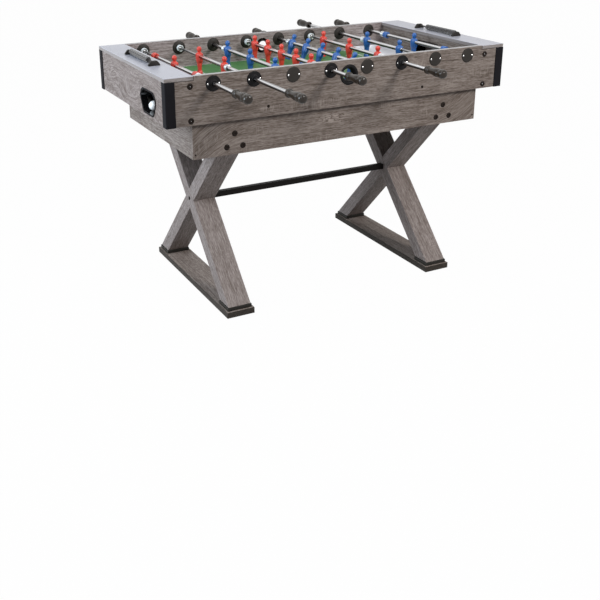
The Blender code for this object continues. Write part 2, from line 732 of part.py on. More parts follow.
def make_goal_wall(name, side, cabinet):
    """The inner wall behind the goalkeeper, with the goal cut up from the field and its coved rims."""
    half = HALF_INSIDE - SEAT_GAP
    faces = sorted((side * HALF_FIELD, side * GOAL_WALL_OUTER))
    wall = piece(name, box((faces[0], -half, CABINET_BOTTOM), (faces[1], half, BOARD_BOTTOM - SEAT_GAP)),
                 WOOD, 0.55, parent=cabinet, smooth=False)
    across = GOAL_WIDTH / 2
    corners = [(-across, FIELD_TOP), (across, FIELD_TOP), (across, FIELD_TOP + GOAL_HEIGHT),
               (-across, FIELD_TOP + GOAL_HEIGHT)]
    hole = prism(rounded_outline(corners, GOAL_CORNER), faces[0] - CUT_OVERRUN, faces[1] + CUT_OVERRUN, "X")
    combine(wall, helper(f"{name}_goal", hole, cabinet), "DIFFERENCE")
    combine(wall, helper(f"{name}_trough", trough(side), cabinet), "UNION")
    at_sides, at_end = end_rims(side, half)
    combine(wall, helper(f"{name}_side_rims", at_sides, cabinet), "UNION")
    combine(wall, helper(f"{name}_end_rims", at_end, cabinet), "UNION")


def make_top_board(name, side, cabinet):
    faces = sorted((side * BOARD_INNER, side * HALF_TABLE))
    board = box((faces[0], -HALF_WIDTH, BOARD_BOTTOM), (faces[1], HALF_WIDTH, TABLE_TOP))
    piece(name, soften(board), (0.5, 0.51, 0.53), 0.35, parent=cabinet, smooth=False)


def make_corner_guard(name, end, side, cabinet):
    """An angle strip on an upright corner of the cabinet, rounded on its edge."""
    x = end * (HALF_CABINET + SEAT_GAP)
    y = side * (HALF_WIDTH + SEAT_GAP)
    out_x = x + end * GUARD_WALL
    out_y = y + side * GUARD_WALL
    bend = CORNER_STEPS * 2
    outline = [(x - end * GUARD_SIDE_LEG, y), (x, y), (x, y - side * GUARD_END_LEG),
               (out_x, y - side * GUARD_END_LEG)]
    for step in range(bend + 1):
        turn = math.pi / 2 * step / bend
        outline.append((x + end * GUARD_WALL * math.cos(turn), y + side * GUARD_WALL * math.sin(turn)))
    outline.append((x - end * GUARD_SIDE_LEG, out_y))
    strip = prism(outline, CABINET_BOTTOM, BOARD_BOTTOM - SEAT_GAP, "Z")
    piece(name, strip, BLACK, 0.45, parent=cabinet)


def make_scorer(name, side, cabinet):
    """A rail with two end brackets, and the row of score beads that slides along it."""
    x = side * (BOARD_INNER + HALF_TABLE) / 2
    seat = TABLE_TOP + SEAT_GAP
    axis = TABLE_TOP + BEAD_AXIS_HEIGHT
    half = SCORER_SPAN / 2
    outline = [(x - BRACKET_BASE / 2, seat), (x + BRACKET_BASE / 2, seat),
               (x + BRACKET_BASE / 2, seat + BRACKET_HEIGHT / 4),
               (x + BRACKET_TOP / 2, seat + BRACKET_HEIGHT),
               (x - BRACKET_TOP / 2, seat + BRACKET_HEIGHT),
               (x - BRACKET_BASE / 2, seat + BRACKET_HEIGHT / 4)]
    frame = bmesh.new()
    for end in (-1, 1):
        faces = sorted((end * half, end * (half + BRACKET_THICKNESS)))
        add_prism(frame, outline, faces[0], faces[1], "Y")
    rail = bmesh.new()
    add_cylinder(rail, SCORER_ROD_RADIUS, -half - BRACKET_THICKNESS / 2, half + BRACKET_THICKNESS / 2,
                 SCREW_SIDES, (x, 0, axis))
    body = piece(f"{name}_scorer_frame", rail, BLACK, 0.4, parent=cabinet)
    combine(body, helper(f"{name}_scorer_brackets", frame, cabinet), "UNION")
    row = BEAD_COUNT * BEAD_PITCH
    centre = -side * (half - SEAT_GAP - STOP_CLEARANCE - row / 2)
    groove = BEAD_PITCH / 8
    bore = SCORER_ROD_RADIUS + BORE_CLEARANCE
    profile = [(-row / 2, bore)]
    for bead in range(BEAD_COUNT):
        start = bead * BEAD_PITCH - row / 2
        profile.append((start, BEAD_RADIUS - BEAD_GROOVE))
        profile.append((start + groove, BEAD_RADIUS))
        profile.append((start + BEAD_PITCH - groove, BEAD_RADIUS))
    profile.append((row / 2, BEAD_RADIUS - BEAD_GROOVE))
    profile.append((row / 2, bore))
    slide = empty(f"{name}_score_slide", (x, centre, axis), cabinet)
    piece(f"{name}_score_beads", turned(profile, BEAD_SIDES), BLACK, 0.35, parent=slide)


def make_playfield(cabinet):
    """The playing board."""
    half_x = HALF_FIELD - SEAT_GAP
    half_y = HALF_INSIDE - SEAT_GAP
    board = box((-half_x, -half_y, FIELD_BOTTOM), (half_x, half_y, FIELD_TOP))
    piece("playfield", board, GREEN, 0.5, parent=cabinet, smooth=False)


def make_ball(cabinet):
    """The match ball, lying in the left return cup."""
    floor = CABINET_BOTTOM + RETURN_RISE + RETURN_SHELL + SEAT_GAP
    ball = bmesh.new()
    bmesh.ops.create_uvsphere(ball, u_segments=BODY_SIDES + 2, v_segments=BODY_SIDES, radius=BALL_RADIUS)
    foot_end = -RETURN_OFFSET + RETURN_FOOT_WIDTH / 2
    place = (-(PANEL_INNER - RETURN_DEPTH / 7), foot_end - BALL_RADIUS, floor + BALL_RADIUS)
    piece("match_ball", ball, WHITE, 0.4, parent=cabinet, place=place)


def make_cabinet():
    cabinet = empty("cabinet", (0, 0, 0))
    for name, side in (("front", -1), ("back", 1)):
        make_long_wall(f"{name}_wall", side, cabinet)
        make_serve_cup(f"{name}_serve_cup", side, cabinet)
    for name, side in (("left", -1), ("right", 1)):
        make_end_panel(f"{name}_end_panel", side, cabinet)
        make_return_cup(f"{name}_return_cup", side, cabinet)
        make_goal_wall(f"{name}_goal_wall", side, cabinet)
        make_top_board(f"{name}_top_board", side, cabinet)
        make_scorer(name, side, cabinet)
        for row, depth in (("front", -1), ("back", 1)):
            make_corner_guard(f"corner_guard_{name}_{row}", side, depth, cabinet)
    make_playfield(cabinet)
    make_ball(cabinet)
    return cabinet


# Rods


def man_sections():
    """Heights with half width and half depth of a man, up from the foot, seen from the rod's axis."""
    foot_shares = ((1, 0.68, 0.70), (0.87, 0.68, 0.68), (0.74, 0.50, 0.42), (0.22, 0.84, 0.82))
    body_shares = ((0.16, 1, 0.96), (0.42, 0.48, 0.44), (0.54, 0.44, 0.48), (0.76, 0.52, 0.56),
                   (1, 0.26, 0.28))
    sections = []
    for height, width, depth in foot_shares:
        sections.append((-height * FOOT_REACH, width * MAN_HALF_WIDTH, depth * MAN_HALF_DEPTH))
    for height, width, depth in body_shares:
        sections.append((height * HEAD_REACH, width * MAN_HALF_WIDTH, depth * MAN_HALF_DEPTH))
    return sections


def add_man(mesh, place, lean):
    """A man lofted from foot to head, standing across the rod."""
    rings = []
    fullness = 2.6
    for height, width, depth in man_sections():
        ring = []
        for k in range(BODY_SIDES):
            turn = math.tau * (k + 0.5) / BODY_SIDES
            across = math.copysign(abs(math.cos(turn)) ** (2 / fullness), math.cos(turn))
            along = math.copysign(abs(math.sin(turn)) ** (2 / fullness), math.sin(turn))
            ring.append(mesh.verts.new((across * depth, along * width, height)))
        rings.append(ring)
    for low, high in zip(rings, rings[1:]):
        for k in range(BODY_SIDES):
            mesh.faces.new((low[k - 1], low[k], high[k], high[k - 1]))
    mesh.faces.new(rings[0][::-1])
    mesh.faces.new(rings[-1])
    verts = [vert for ring in rings for vert in ring]
    bmesh.ops.rotate(mesh, verts=verts, matrix=Matrix.Rotation(lean, 3, "Y"))
    bmesh.ops.translate(mesh, verts=verts, vec=(0, place, 0))


def make_rod(rod, cabinet):
    """A telescopic rod: a shaft that turns in one wall, and a tube that slides on it through the other."""
    side = handle_side(rod)
    travel = rod_travel(rod)
    shift = rod_shift(rod)
    half_man = end_half_length(rod)
    places = men_places(rod)
    colour = RED if side < 0 else BLUE
    spin = empty(f"rod_{rod}_spin", (rod_x(rod), 0, ROD_HEIGHT), cabinet)
    tip = max(places) + half_man + TUBE_STUB - travel - SHAFT_ENGAGEMENT
    seat = HALF_INSIDE + SHAFT_SOCKET_DEPTH - SEAT_GAP
    shaft = bmesh.new()
    add_turned(shaft, [(-side * tip, 0), (-side * tip, SHAFT_RADIUS),
                       (-side * COLLAR_FACE, SHAFT_RADIUS), (-side * COLLAR_FACE, COLLAR_RADIUS),
                       (-side * (COLLAR_FACE + COLLAR_LENGTH), COLLAR_RADIUS),
                       (-side * (COLLAR_FACE + COLLAR_LENGTH), SHAFT_RADIUS),
                       (-side * seat, SHAFT_RADIUS), (-side * seat, 0)], ROD_SIDES)
    piece(f"rod_{rod}_shaft", shaft, CHROME, 0.25, 1, parent=spin)

    slide = empty(f"rod_{rod}_slide", (0, shift, 0), spin)
    inner_end = -side * (max(places) + half_man + TUBE_STUB)
    handle_start = side * (BEARING_FACE + travel + HANDLE_CLEARANCE)
    outer_end = handle_start + side * (HANDLE_SOCKET - SEAT_GAP)
    bumper = INNER_FACE - STOP_CLEARANCE - travel
    collars = [(max(places) + half_man - TUBE_STUB, bumper, BUMPER_RADIUS)]
    men = bmesh.new()
    lean = LEAN_ANGLE if rod == LEANING_ROD else 0
    for place in places:
        if ROD_MEN[rod - 1] == 1 and place:
            collars.append((side * place - STOP_HALF_LENGTH, side * place + STOP_HALF_LENGTH, STOP_RADIUS))
        else:
            add_man(men, place, lean)
    profile = [(inner_end, 0), (inner_end, TUBE_RADIUS)]
    for start, end, radius in sorted(collars):
        profile += [(side * start, TUBE_RADIUS), (side * start, radius), (side * end, radius),
                    (side * end, TUBE_RADIUS)]
    profile += [(outer_end, TUBE_RADIUS), (outer_end, 0)]
    body = piece(f"rod_{rod}_tube_and_men", turned(profile, ROD_SIDES), colour, 0.4, parent=slide)
    bore = bmesh.new()
    overrun = side * CUT_OVERRUN
    add_cylinder(bore, TUBE_BORE, inner_end - overrun, outer_end + overrun, ROD_SIDES)
    combine(body, helper(f"rod_{rod}_men", men, slide), "UNION")
    combine(body, helper(f"rod_{rod}_bore", bore, slide), "DIFFERENCE")

    wide_shares = ((0, 0.70), (0.04, 0.88), (0.15, 0.88), (0.24, 0.66), (0.52, 0.90), (0.68, 0.94),
                   (0.86, 1), (1, 0.50))
    bore_radius = TUBE_RADIUS + BORE_CLEARANCE
    profile = [(side * HANDLE_SOCKET, 0), (side * HANDLE_SOCKET, bore_radius), (0, bore_radius)]
    for along, wide in wide_shares:
        profile.append((side * along * HANDLE_LENGTH, wide * HANDLE_RADIUS))
    profile.append((side * HANDLE_LENGTH, 0))
    piece(f"rod_{rod}_handle", turned(profile, HANDLE_SIDES), GRIP, 0.45, parent=slide,
          place=(0, handle_start, 0))


def main():
    clear_scene()
    make_base()
    cabinet = make_cabinet()
    for rod in range(1, ROD_COUNT + 1):
        make_rod(rod, cabinet)
    bpy.context.view_layer.update()


main()
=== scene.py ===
"""Multi game table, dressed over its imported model: oak boards, bearings, rods, men and pool cloth.

Metres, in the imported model's frame: +X along the table, +Y to the far long wall, +Z up.
"""
import math

import bmesh
import bpy
from mathutils import Matrix, Vector


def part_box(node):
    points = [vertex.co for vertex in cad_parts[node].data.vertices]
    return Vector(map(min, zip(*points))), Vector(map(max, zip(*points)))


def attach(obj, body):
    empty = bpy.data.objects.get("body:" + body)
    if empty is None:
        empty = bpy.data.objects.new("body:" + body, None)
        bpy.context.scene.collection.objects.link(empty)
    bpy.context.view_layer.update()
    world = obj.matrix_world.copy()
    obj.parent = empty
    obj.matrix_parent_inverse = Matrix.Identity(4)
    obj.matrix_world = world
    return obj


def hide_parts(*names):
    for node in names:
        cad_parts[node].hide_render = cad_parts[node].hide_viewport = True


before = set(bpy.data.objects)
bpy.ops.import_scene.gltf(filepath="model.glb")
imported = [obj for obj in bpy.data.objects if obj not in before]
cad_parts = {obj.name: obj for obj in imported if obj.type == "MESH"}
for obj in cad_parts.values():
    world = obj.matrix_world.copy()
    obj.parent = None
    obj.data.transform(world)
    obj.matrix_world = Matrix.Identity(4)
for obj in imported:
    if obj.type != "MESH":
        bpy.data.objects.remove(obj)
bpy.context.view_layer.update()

TABLE = "pool_table"
CABINET = "football_cabinet"
ENDS = (("left", -1), ("right", 1))
LONG_SIDES = (("front", -1), ("back", 1))

# Rods
RODS = range(1, 9)
ROD_PITCH = 0.1475
ROD_HEIGHT = 0.856
ROD_MEN = (1, 2, 3, 5, 5, 3, 2, 1)
MEN_SPACING = {1: 0.19889, 2: 0.22908, 3: 0.2002, 5: 0.11421}
NEAR_HANDLED = (1, 2, 4, 6)
LEANING_ROD = 5
LEAN = math.radians(20)
TUBE_RADIUS = 0.0072
TUBE_BORE = 0.0052
MEN_BORE = 0.0062
SHAFT_RADIUS = 0.0046
STOP_HALF = 0.0125
MAN_HALF_WIDTH = 0.0165
BUMPER_RADIUS = 0.0118
BEARING_FACE = 0.3232
COLLAR_FACE = 0.3069
PLAY = 0.001

# Boards and walls
HALF_FIELD = 0.59
HALF_INSIDE = 0.3282
HALF_WIDTH = 0.3462
HALF_CABINET = 0.6815
HALF_TABLE = 0.685
PANEL_INNER = 0.6635
GOAL_WALL_OUTER = 0.608
GOAL_HALF = 0.075
GOAL_HEIGHT = 0.068
TRAY_LENGTH = 0.155
BOARD_INNER = 0.585
CABINET_BOTTOM = 0.7235
TABLE_TOP = 0.886
BOARD_BOTTOM = 0.873
FIELD_TOP = 0.78
FIELD_BOTTOM = 0.771
SERVE_HEIGHT = 0.8335
WALL_BOLT_X = 0.5975
HALF_CLEAT = 0.572
SCORER_X = 0.635
SCORER_RISE = 0.0112
BEAD_RADIUS = 0.0104
BALL_RADIUS = 0.0165
RETURN_MIDDLE = 0.18
RETURN_HALF = 0.075
GAP = 0.0003
GROOVE = 0.0016
SHARP_TURN = 0.6

# Pool base
HALF_BASE_LENGTH = 0.5865
HALF_BASE_WIDTH = 0.3247
APRON_INNER = 0.3067
BASE_BOTTOM = 0.6
BASE_TOP = 0.745
BED_TOP = 0.707
BED_BOTTOM = 0.695
WALL = 0.018
POCKET_X = 0.5385
POCKET_Y = 0.2767
LEG_CENTRE = 0.4335
LEG_CROSS = 0.348
LEG_REACH = 0.3338
LEG_RISE = 0.347
HALF_LEG_DEPTH = 0.044
HALF_LEG_THICKNESS = 0.027
RAIL_HALF_WIDTH = 0.054
RAIL_HALF_LENGTH = 0.34952
SHOE_CENTRE = 0.3004
EASED = 0.0011

# Grain of the laminate
OAK_DARK = (0.052, 0.038, 0.031)
OAK_SHADE = (0.106, 0.083, 0.07)
OAK_MIDDLE = (0.176, 0.144, 0.126)
OAK_LIGHT = (0.262, 0.224, 0.202)
SWEEP_START = 0.37

# Printed lines of the pitch
LINE_HALF = 0.0028
CENTRE_RING = 0.095
GOAL_LINE = 0.392
BOX_LINE = 0.334
BOX_HALF = 0.215

# Camera, solved from the straight edges of the photograph
CAMERA_PLACE = (-1.6425, -2.963, 1.4661)
CAMERA_YAW = 0.4714
CAMERA_PITCH = -0.3522
CAMERA_ROLL = -0.0058
FOCAL_PIXELS = 890.36
PICTURE_PIXELS = 600
AXIS_PIXEL = (271.16, 209.19)
SENSOR_WIDTH = 36
WHITE = (1, 1, 1, 1)


# Mesh helpers


def linked(name, data):
    """A new object in the scene."""
    made = bpy.data.objects.new(name, data)
    bpy.context.collection.objects.link(made)
    return made


def object_of(name, mesh):
    """An object of a bmesh, which is freed."""
    data = bpy.data.meshes.new(name)
    mesh.to_mesh(data)
    mesh.free()
    return linked(name, data)


def new_piece(name, mesh, finish, body, slot, stands_for=(), smooth=35, even=False):
    """Make a piece of a bmesh, give it its finish and let it ride on its body."""
    bmesh.ops.remove_doubles(mesh, verts=mesh.verts, dist=0.00001)
    bmesh.ops.recalc_face_normals(mesh, faces=mesh.faces)
    piece = object_of(name, mesh)
    piece.data.shade_smooth()
    piece.data.set_sharp_from_angle(angle=math.radians(smooth))
    piece.data.materials.append(finish)
    if even:
        shading = piece.modifiers.new("even shading", "WEIGHTED_NORMAL")
        shading.keep_sharp = True
    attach(piece, body)
    if stands_for:
        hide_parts(*stands_for)
    return piece


def cut_away(piece, mesh, joined=False):
    """Cut a shape out of a piece, whose own overlapping parts may be joined at the same time."""
    cutter = object_of("cutter", mesh)
    cut = piece.modifiers.new("cut", "BOOLEAN")
    cut.object = cutter
    cut.operation = "DIFFERENCE"
    cut.solver = "EXACT"
    cut.use_self = joined
    whole = piece.data
    graph = bpy.context.evaluated_depsgraph_get()
    piece.data = bpy.data.meshes.new_from_object(piece.evaluated_get(graph), depsgraph=graph)
    piece.modifiers.remove(cut)
    bpy.data.meshes.remove(whole)
    bpy.data.objects.remove(cutter)


def ease_edges(mesh, width):
    """Round the sharp edges."""
    picked = [edge for edge in mesh.edges if edge.is_manifold and edge.calc_face_angle() > SHARP_TURN]
    bmesh.ops.bevel(mesh, geom=picked, offset=width, segments=2, profile=0.5, affect="EDGES",
                    material=-1, clamp_overlap=True)


def add_block(mesh, one, other, ease=0.0, steps=2):
    """A block between any two opposite corners, with its edges rounded."""
    low, high = (Vector([pick(pair) for pair in zip(one, other)]) for pick in (min, max))
    verts = bmesh.ops.create_cube(mesh, size=1)["verts"]
    bmesh.ops.scale(mesh, verts=verts, vec=high - low)
    bmesh.ops.translate(mesh, verts=verts, vec=(high + low) / 2)
    if ease:
        edges = {edge for vert in verts for edge in vert.link_edges}
        bmesh.ops.bevel(mesh, geom=list(edges), offset=ease, segments=steps, profile=0.5,
                        affect="EDGES", material=-1)


def block(one, other, ease=0.001, steps=2):
    mesh = bmesh.new()
    add_block(mesh, one, other, ease, steps)
    return mesh


def mm(*points, start=0.0):
    """Points in metres from millimetres, their first number counted from a start."""
    return [(start + first / 1000, *(value / 1000 for value in others)) for first, *others in points]


def soft_corners(points, radius, steps=5, closed=True):
    """Replace corners by short curves, all of one radius or each of its own."""
    radii = radius if isinstance(radius, tuple) else (radius,) * len(points)
    curve = []
    for k, (point, reach) in enumerate(zip(points, radii)):
        if not closed and k in (0, len(points) - 1):
            curve.append(tuple(point))
            continue
        here = Vector(point)
        back = Vector(points[k - 1]) - here
        ahead = Vector(points[(k + 1) % len(points)]) - here
        start = here + back.normalized() * min(reach, back.length * 0.48)
        end = here + ahead.normalized() * min(reach, ahead.length * 0.48)
        for step in range(steps + 1):
            t = step / steps
            curve.append(tuple(start.lerp(here, t).lerp(here.lerp(end, t), t)))
    return curve


def circle(across, up, radius, sides=48):
    turns = [math.tau * k / sides for k in range(sides)]
    return [(across + radius * math.cos(turn), up + radius * math.sin(turn)) for turn in turns]


def rectangle(left, right, low, high):
    return [(left, low), (right, low), (right, high), (left, high)]


def board(outline, one, other, axis, holes=(), ease=0.001):
    """A board drawn across an axis, with its holes, extruded between two places and its rims rounded."""
    low, high = sorted((one, other))
    mesh = bmesh.new()
    edges = []
    for loop in (outline, *holes):
        rim = [mesh.verts.new((across, up, low)) for across, up in loop]
        edges += [mesh.edges.new((rim[k - 1], rim[k])) for k in range(len(rim))]
    bmesh.ops.triangle_fill(mesh, edges=edges, use_beauty=True, use_dissolve=False)
    grown = bmesh.ops.extrude_face_region(mesh, geom=mesh.faces[:])["geom"]
    bmesh.ops.translate(mesh, verts=[item for item in grown if isinstance(item, bmesh.types.BMVert)],
                        vec=(0, 0, high - low))
    bmesh.ops.recalc_face_normals(mesh, faces=mesh.faces)
    bmesh.ops.dissolve_limit(mesh, angle_limit=0.01, verts=mesh.verts, edges=mesh.edges)
    if ease:
        ease_edges(mesh, ease)
    order = {"X": (2, 0, 1), "Y": (0, 2, 1), "Z": (0, 1, 2)}[axis]
    for vert in mesh.verts:
        vert.co = [vert.co[k] for k in order]
    return mesh


def add_turned(mesh, profile, side, centre, axis="Y", sides=48):
    """Spin a profile of (along, radius) points round an axis, its places along it taken towards a side."""
    along = Vector({"X": (1, 0, 0), "Y": (0, 1, 0), "Z": (0, 0, 1)}[axis])
    out = Vector({"X": (0, 0, 1), "Y": (1, 0, 0), "Z": (1, 0, 0)}[axis])
    first = [mesh.verts.new(Vector(centre) + along * side * a + out * r) for a, r in profile]
    edges = [mesh.edges.new(pair) for pair in zip(first, first[1:])]
    if profile[0][1] > 0 and profile[-1][1] > 0:
        edges.append(mesh.edges.new((first[-1], first[0])))
    bmesh.ops.spin(mesh, geom=first + edges, cent=centre, axis=along, dvec=(0, 0, 0),
                   angle=math.tau, steps=sides, use_merge=True, use_duplicate=False)


def turned(profile, side, centre, sides):
    mesh = bmesh.new()
    add_turned(mesh, profile, side, centre, "Y", sides)
    return mesh


def add_ring(mesh, centre, across, along, sides, fullness=2.0):
    """A level closed loop, from round to nearly square."""
    loop = bmesh.ops.create_circle(mesh, segments=sides, radius=1)["verts"]
    for vert in loop:
        turn = math.atan2(vert.co.y, vert.co.x)
        vert.co.x = math.copysign(abs(math.cos(turn)) ** (2 / fullness), math.cos(turn)) * across
        vert.co.y = math.copysign(abs(math.sin(turn)) ** (2 / fullness), math.sin(turn)) * along
    bmesh.ops.translate(mesh, verts=loop, vec=centre)
    return loop


def skin(mesh, loops):
    """Join loops one after the other and close both ends."""
    rims = [[mesh.edges.get((loop[k - 1], loop[k])) for k in range(len(loop))] for loop in loops]
    for one, two in zip(rims, rims[1:]):
        bmesh.ops.bridge_loops(mesh, edges=one + two)
    for rim in (rims[0], rims[-1]):
        bmesh.ops.contextual_create(mesh, geom=rim)


def add_strip(mesh, section, wall, inward, low, high, axis, cut=0.0):
    """A strip along a wall, from points of depth and height, with its ends cut back by depth."""
    ends = []
    for place, back in ((low, 1), (high, -1)):
        loop = []
        for depth, height in section:
            along = place + back * depth * cut
            across = wall + inward * depth
            loop.append(mesh.verts.new((along, across, height) if axis == "X" else (across, along, height)))
        for k in range(len(loop)):
            mesh.edges.new((loop[k - 1], loop[k]))
        ends.append(loop)
    skin(mesh, ends)


def copy_of_node(node, ease):
    """A welded copy of a packed board, its flat faces joined and its edges rounded."""
    mesh = bmesh.new()
    mesh.from_mesh(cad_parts[node].data)
    bmesh.ops.remove_doubles(mesh, verts=mesh.verts, dist=0.00002)
    bmesh.ops.dissolve_limit(mesh, angle_limit=0.01, verts=mesh.verts, edges=mesh.edges)
    ease_edges(mesh, ease)
    return mesh


# Finish helpers


def finish_of(name, roughness=0.5, metallic=0.0, **sockets):
    """A material with its constant values set on the shader itself."""
    finish = bpy.data.materials.new(name)
    finish.use_nodes = True
    shader = finish.node_tree.nodes["Principled BSDF"]
    shader.inputs["Roughness"].default_value = roughness
    shader.inputs["Metallic"].default_value = metallic
    for socket, value in sockets.items():
        shader.inputs[socket.replace("_", " ")].default_value = value
    return finish


def add(holder, kind, inputs=None, output=0, **settings):
    """Add a node to a finish or to the world. An input is a number, a colour or a Pattern."""
    tree = holder.node_tree
    made = tree.nodes.new("ShaderNode" + kind)
    for setting, value in settings.items():
        setattr(made, setting, value)
    for socket, value in (inputs or {}).items():
        if isinstance(value, Pattern):
            tree.links.new(value.socket, made.inputs[socket])
        else:
            made.inputs[socket].default_value = value
    return Pattern(holder, made.outputs[output])


class Pattern:
    """What a node gives: coordinates, a value, a colour or a shader, with plain sums on it."""

    def __init__(self, holder, socket):
        self.holder = holder
        self.socket = socket

    def wire(self, socket):
        tree = self.holder.node_tree
        tree.links.new(self.socket, tree.nodes["Principled BSDF"].inputs[socket])

    def maths(self, operation, *values):
        return add(self.holder, "Math", dict(enumerate((self, *values))), operation=operation)

    def __add__(self, value):
        return self.maths("ADD", value)

    def __sub__(self, value):
        return self.maths("SUBTRACT", value)

    def __mul__(self, value):
        return self.maths("MULTIPLY", value)

    def vector_maths(self, operation, inputs):
        return add(self.holder, "VectorMath", {0: self, **inputs}, operation=operation)

    def split(self):
        parts = add(self.holder, "SeparateXYZ", {0: self})
        return [Pattern(self.holder, socket) for socket in parts.socket.node.outputs]

    def mapped(self, stretch=(1, 1, 1), shift=(0, 0, 0), turn=(0, 0, 0)):
        inputs = {"Vector": self, "Scale": stretch, "Location": shift, "Rotation": turn}
        return add(self.holder, "Mapping", inputs)

    def lifted(self, height):
        """Coordinates moved along Z."""
        return self.vector_maths("ADD", {1: add(self.holder, "CombineXYZ", {2: height})})

    def noise(self, stretch, detail=3.0, roughness=0.55, shift=(0, 0, 0), output="Fac"):
        inputs = {"Vector": self.mapped(stretch, shift), "Scale": 1.0, "Detail": detail,
                  "Roughness": roughness}
        return add(self.holder, "TexNoise", inputs, output)

    def drifted(self, stretch, amount):
        """Coordinates pushed about by a soft noise."""
        centred = self.noise(stretch, 2, 0.5, output="Color").vector_maths("SUBTRACT", {1: (0.5, 0.5, 0.5)})
        return self.vector_maths("ADD", {1: centred.vector_maths("SCALE", {3: amount})})

    def fade(self, low, high, start=0.0, end=1.0, **settings):
        """Map a value from one range to another, without leaving the second."""
        inputs = {"Value": self, "From Min": low, "From Max": high, "To Min": start, "To Max": end}
        return add(self.holder, "MapRange", inputs, **settings)

    def ramp(self, *stops):
        """Colours along a value, from (place, colour) pairs."""
        made = add(self.holder, "ValToRGB", {"Fac": self})
        band = made.socket.node.color_ramp
        while len(band.elements) < len(stops):
            band.elements.new(0.5)
        for element, (place, colour) in zip(band.elements, stops):
            element.position = place
            element.color = (*colour, 1)
        return made

    def blend(self, *colours):
        """One colour or another, by a share."""
        one, other = (value if isinstance(value, Pattern) else (*value, 1) for value in colours)
        return add(self.holder, "Mix", {0: self, 6: one, 7: other}, 2, data_type="RGBA")

    def bump(self, depth, strength=1.0):
        inputs = {"Height": self, "Distance": depth, "Strength": strength}
        add(self.holder, "Bump", inputs).wire("Normal")

    def between(self, low, high):
        return self.maths("GREATER_THAN", low) * self.maths("LESS_THAN", high)

    def spot(self, zone):
        """1 in the middle of an ellipse on the face, falling to 0 at its rim."""
        middle_x, middle_z, half_x, half_z = zone
        x, _, z = self.split()
        x = (x - middle_x) * (1 / half_x)
        z = (z - middle_z) * (1 / half_z)
        return (x * x + z * z).fade(0, 1, 1, 0, interpolation_type="SMOOTHSTEP")

    def spots(self, zones, base):
        """The strongest of several spots and a base mask."""
        for zone in zones:
            base = self.spot(zone).maths("MAXIMUM", base)
        return base


def place_of(finish):
    """The piece's own coordinates."""
    return add(finish, "TexCoord", output="Object")


def tinted(colour, share):
    """A colour with its channels multiplied, by one share or each by its own."""
    shares = share if isinstance(share, list) else (share,) * 3
    return [channel * part for channel, part in zip(colour, shares)]


def grain_turn(along, across):
    """The turn that lays the grain along X and the face's width along Z."""
    x = Vector(along).normalized()
    z = Vector(across).normalized()
    return Matrix((x, z.cross(x), z)).to_euler("XYZ")


# Finishes


def oak(name, along=(1, 0, 0), across=(0, 0, 1), shift=(0, 0, 0), tone=1.0, sweep=0.0, wave=1.0,
        depth=0.46, calm=0.0, light_tint=(1, 1, 1), swells=(), dark_zones=(), saw_zones=(), knots=()):
    """Brushed grey-brown oak laminate.

    sweep bends the grain near both ends and swells lift it. Dark streaks, saw marks and pale knots
    gather in zones.
    """
    finish = finish_of(name, roughness=0.6, Specular_IOR_Level=0.09)
    # Painted light: the per-channel tint gives a face the colour of the light falling on it.
    tones = [tone * part for part in light_tint]
    place = place_of(finish).mapped(turn=grain_turn(along, across))
    where = place
    if sweep:
        x = where.split()[0]
        beyond = x - x.maths("MAXIMUM", -SWEEP_START).maths("MINIMUM", SWEEP_START)
        where = where.lifted(beyond * beyond.maths("ABSOLUTE") * -sweep)
    for *zone, rise in swells:
        where = where.lifted(place.spot(zone) * -rise)
    where = where.mapped(shift=shift).drifted((2.2, 9, 9), 0.016 * wave)
    loose = place.spots(knots, 0.08) * (0.045 * wave)
    where = where.drifted((19, 40, 40), loose)
    streaks = where.noise((2.6, 115, 115), 4, 0.6)
    strands = where.noise((14, 285, 285), 2, 0.6, (2, 1, 0))
    fibres = where.noise((60, 380, 380), 2, 0.6)
    clouds = where.noise((3, 6, 12), 2)
    value = streaks * 0.22 + strands * (0.84 - 0.3 * calm) + fibres * 0.74 + clouds * (0.4 - 0.3 * calm)
    tints = ((0.0, OAK_SHADE), (0.46, OAK_MIDDLE), (1.0, OAK_LIGHT))
    colour = value.fade(0.92 - 0.3 * calm, 1.28 - 0.29 * calm)
    colour = colour.ramp(*[(stop, tinted(tint, tones)) for stop, tint in tints])
    gather = where.noise((2.2, 13, 13), 1, shift=(1, 8, 4)).fade(0.52, 0.66)
    thin = where.noise((4.5, 135, 135), 3, 0.6, (7, 3, 1)).fade(0.5, 0.62)
    dark = thin * place.spots(dark_zones, gather)
    colour = (dark * depth).blend(colour, tinted(OAK_DARK, tones))
    patches = where.noise((7, 13, 14), 1, shift=(3, 1, 2)).fade(0.6, 0.72)
    saw_marks = where.noise((240, 22, 30), 2, 0.5).fade(0.5, 0.66, 0.0, 0.75)
    marks = saw_marks * place.spots(saw_zones, patches)
    if knots:
        pale = place.spots(knots, 0.0) * strands.fade(0.47, 0.56)
        marks = marks.maths("MAXIMUM", pale)
    (marks * 0.8).blend(colour, tinted(tinted(OAK_LIGHT, tones), 1.25)).wire("Base Color")
    fibres.fade(0.3, 0.7, 0.66, 0.5).wire("Roughness")
    (strands + streaks * 0.6).bump(0.0003, 0.6)
    return finish


def plastic(name, colour, roughness, grain=0.0001, mottling=0.12, shine=0.5, coat=0.0):
    """Moulded plastic with a faint leathery grain and small changes of tone."""
    finish = finish_of(name, roughness=roughness, Specular_IOR_Level=shine, Coat_Weight=coat,
                       Coat_Roughness=0.07)
    where = place_of(finish)
    tone = where.noise((22, 22, 22), 2)
    tone.ramp((0.3, tinted(colour, 1 - mottling)), (0.7, tinted(colour, 1 + mottling))).wire("Base Color")
    fine = where.noise((900, 900, 900), 2)
    fine.fade(0.3, 0.7, roughness - 0.05, roughness + 0.06).wire("Roughness")
    if grain:
        fine.bump(grain)
    return finish


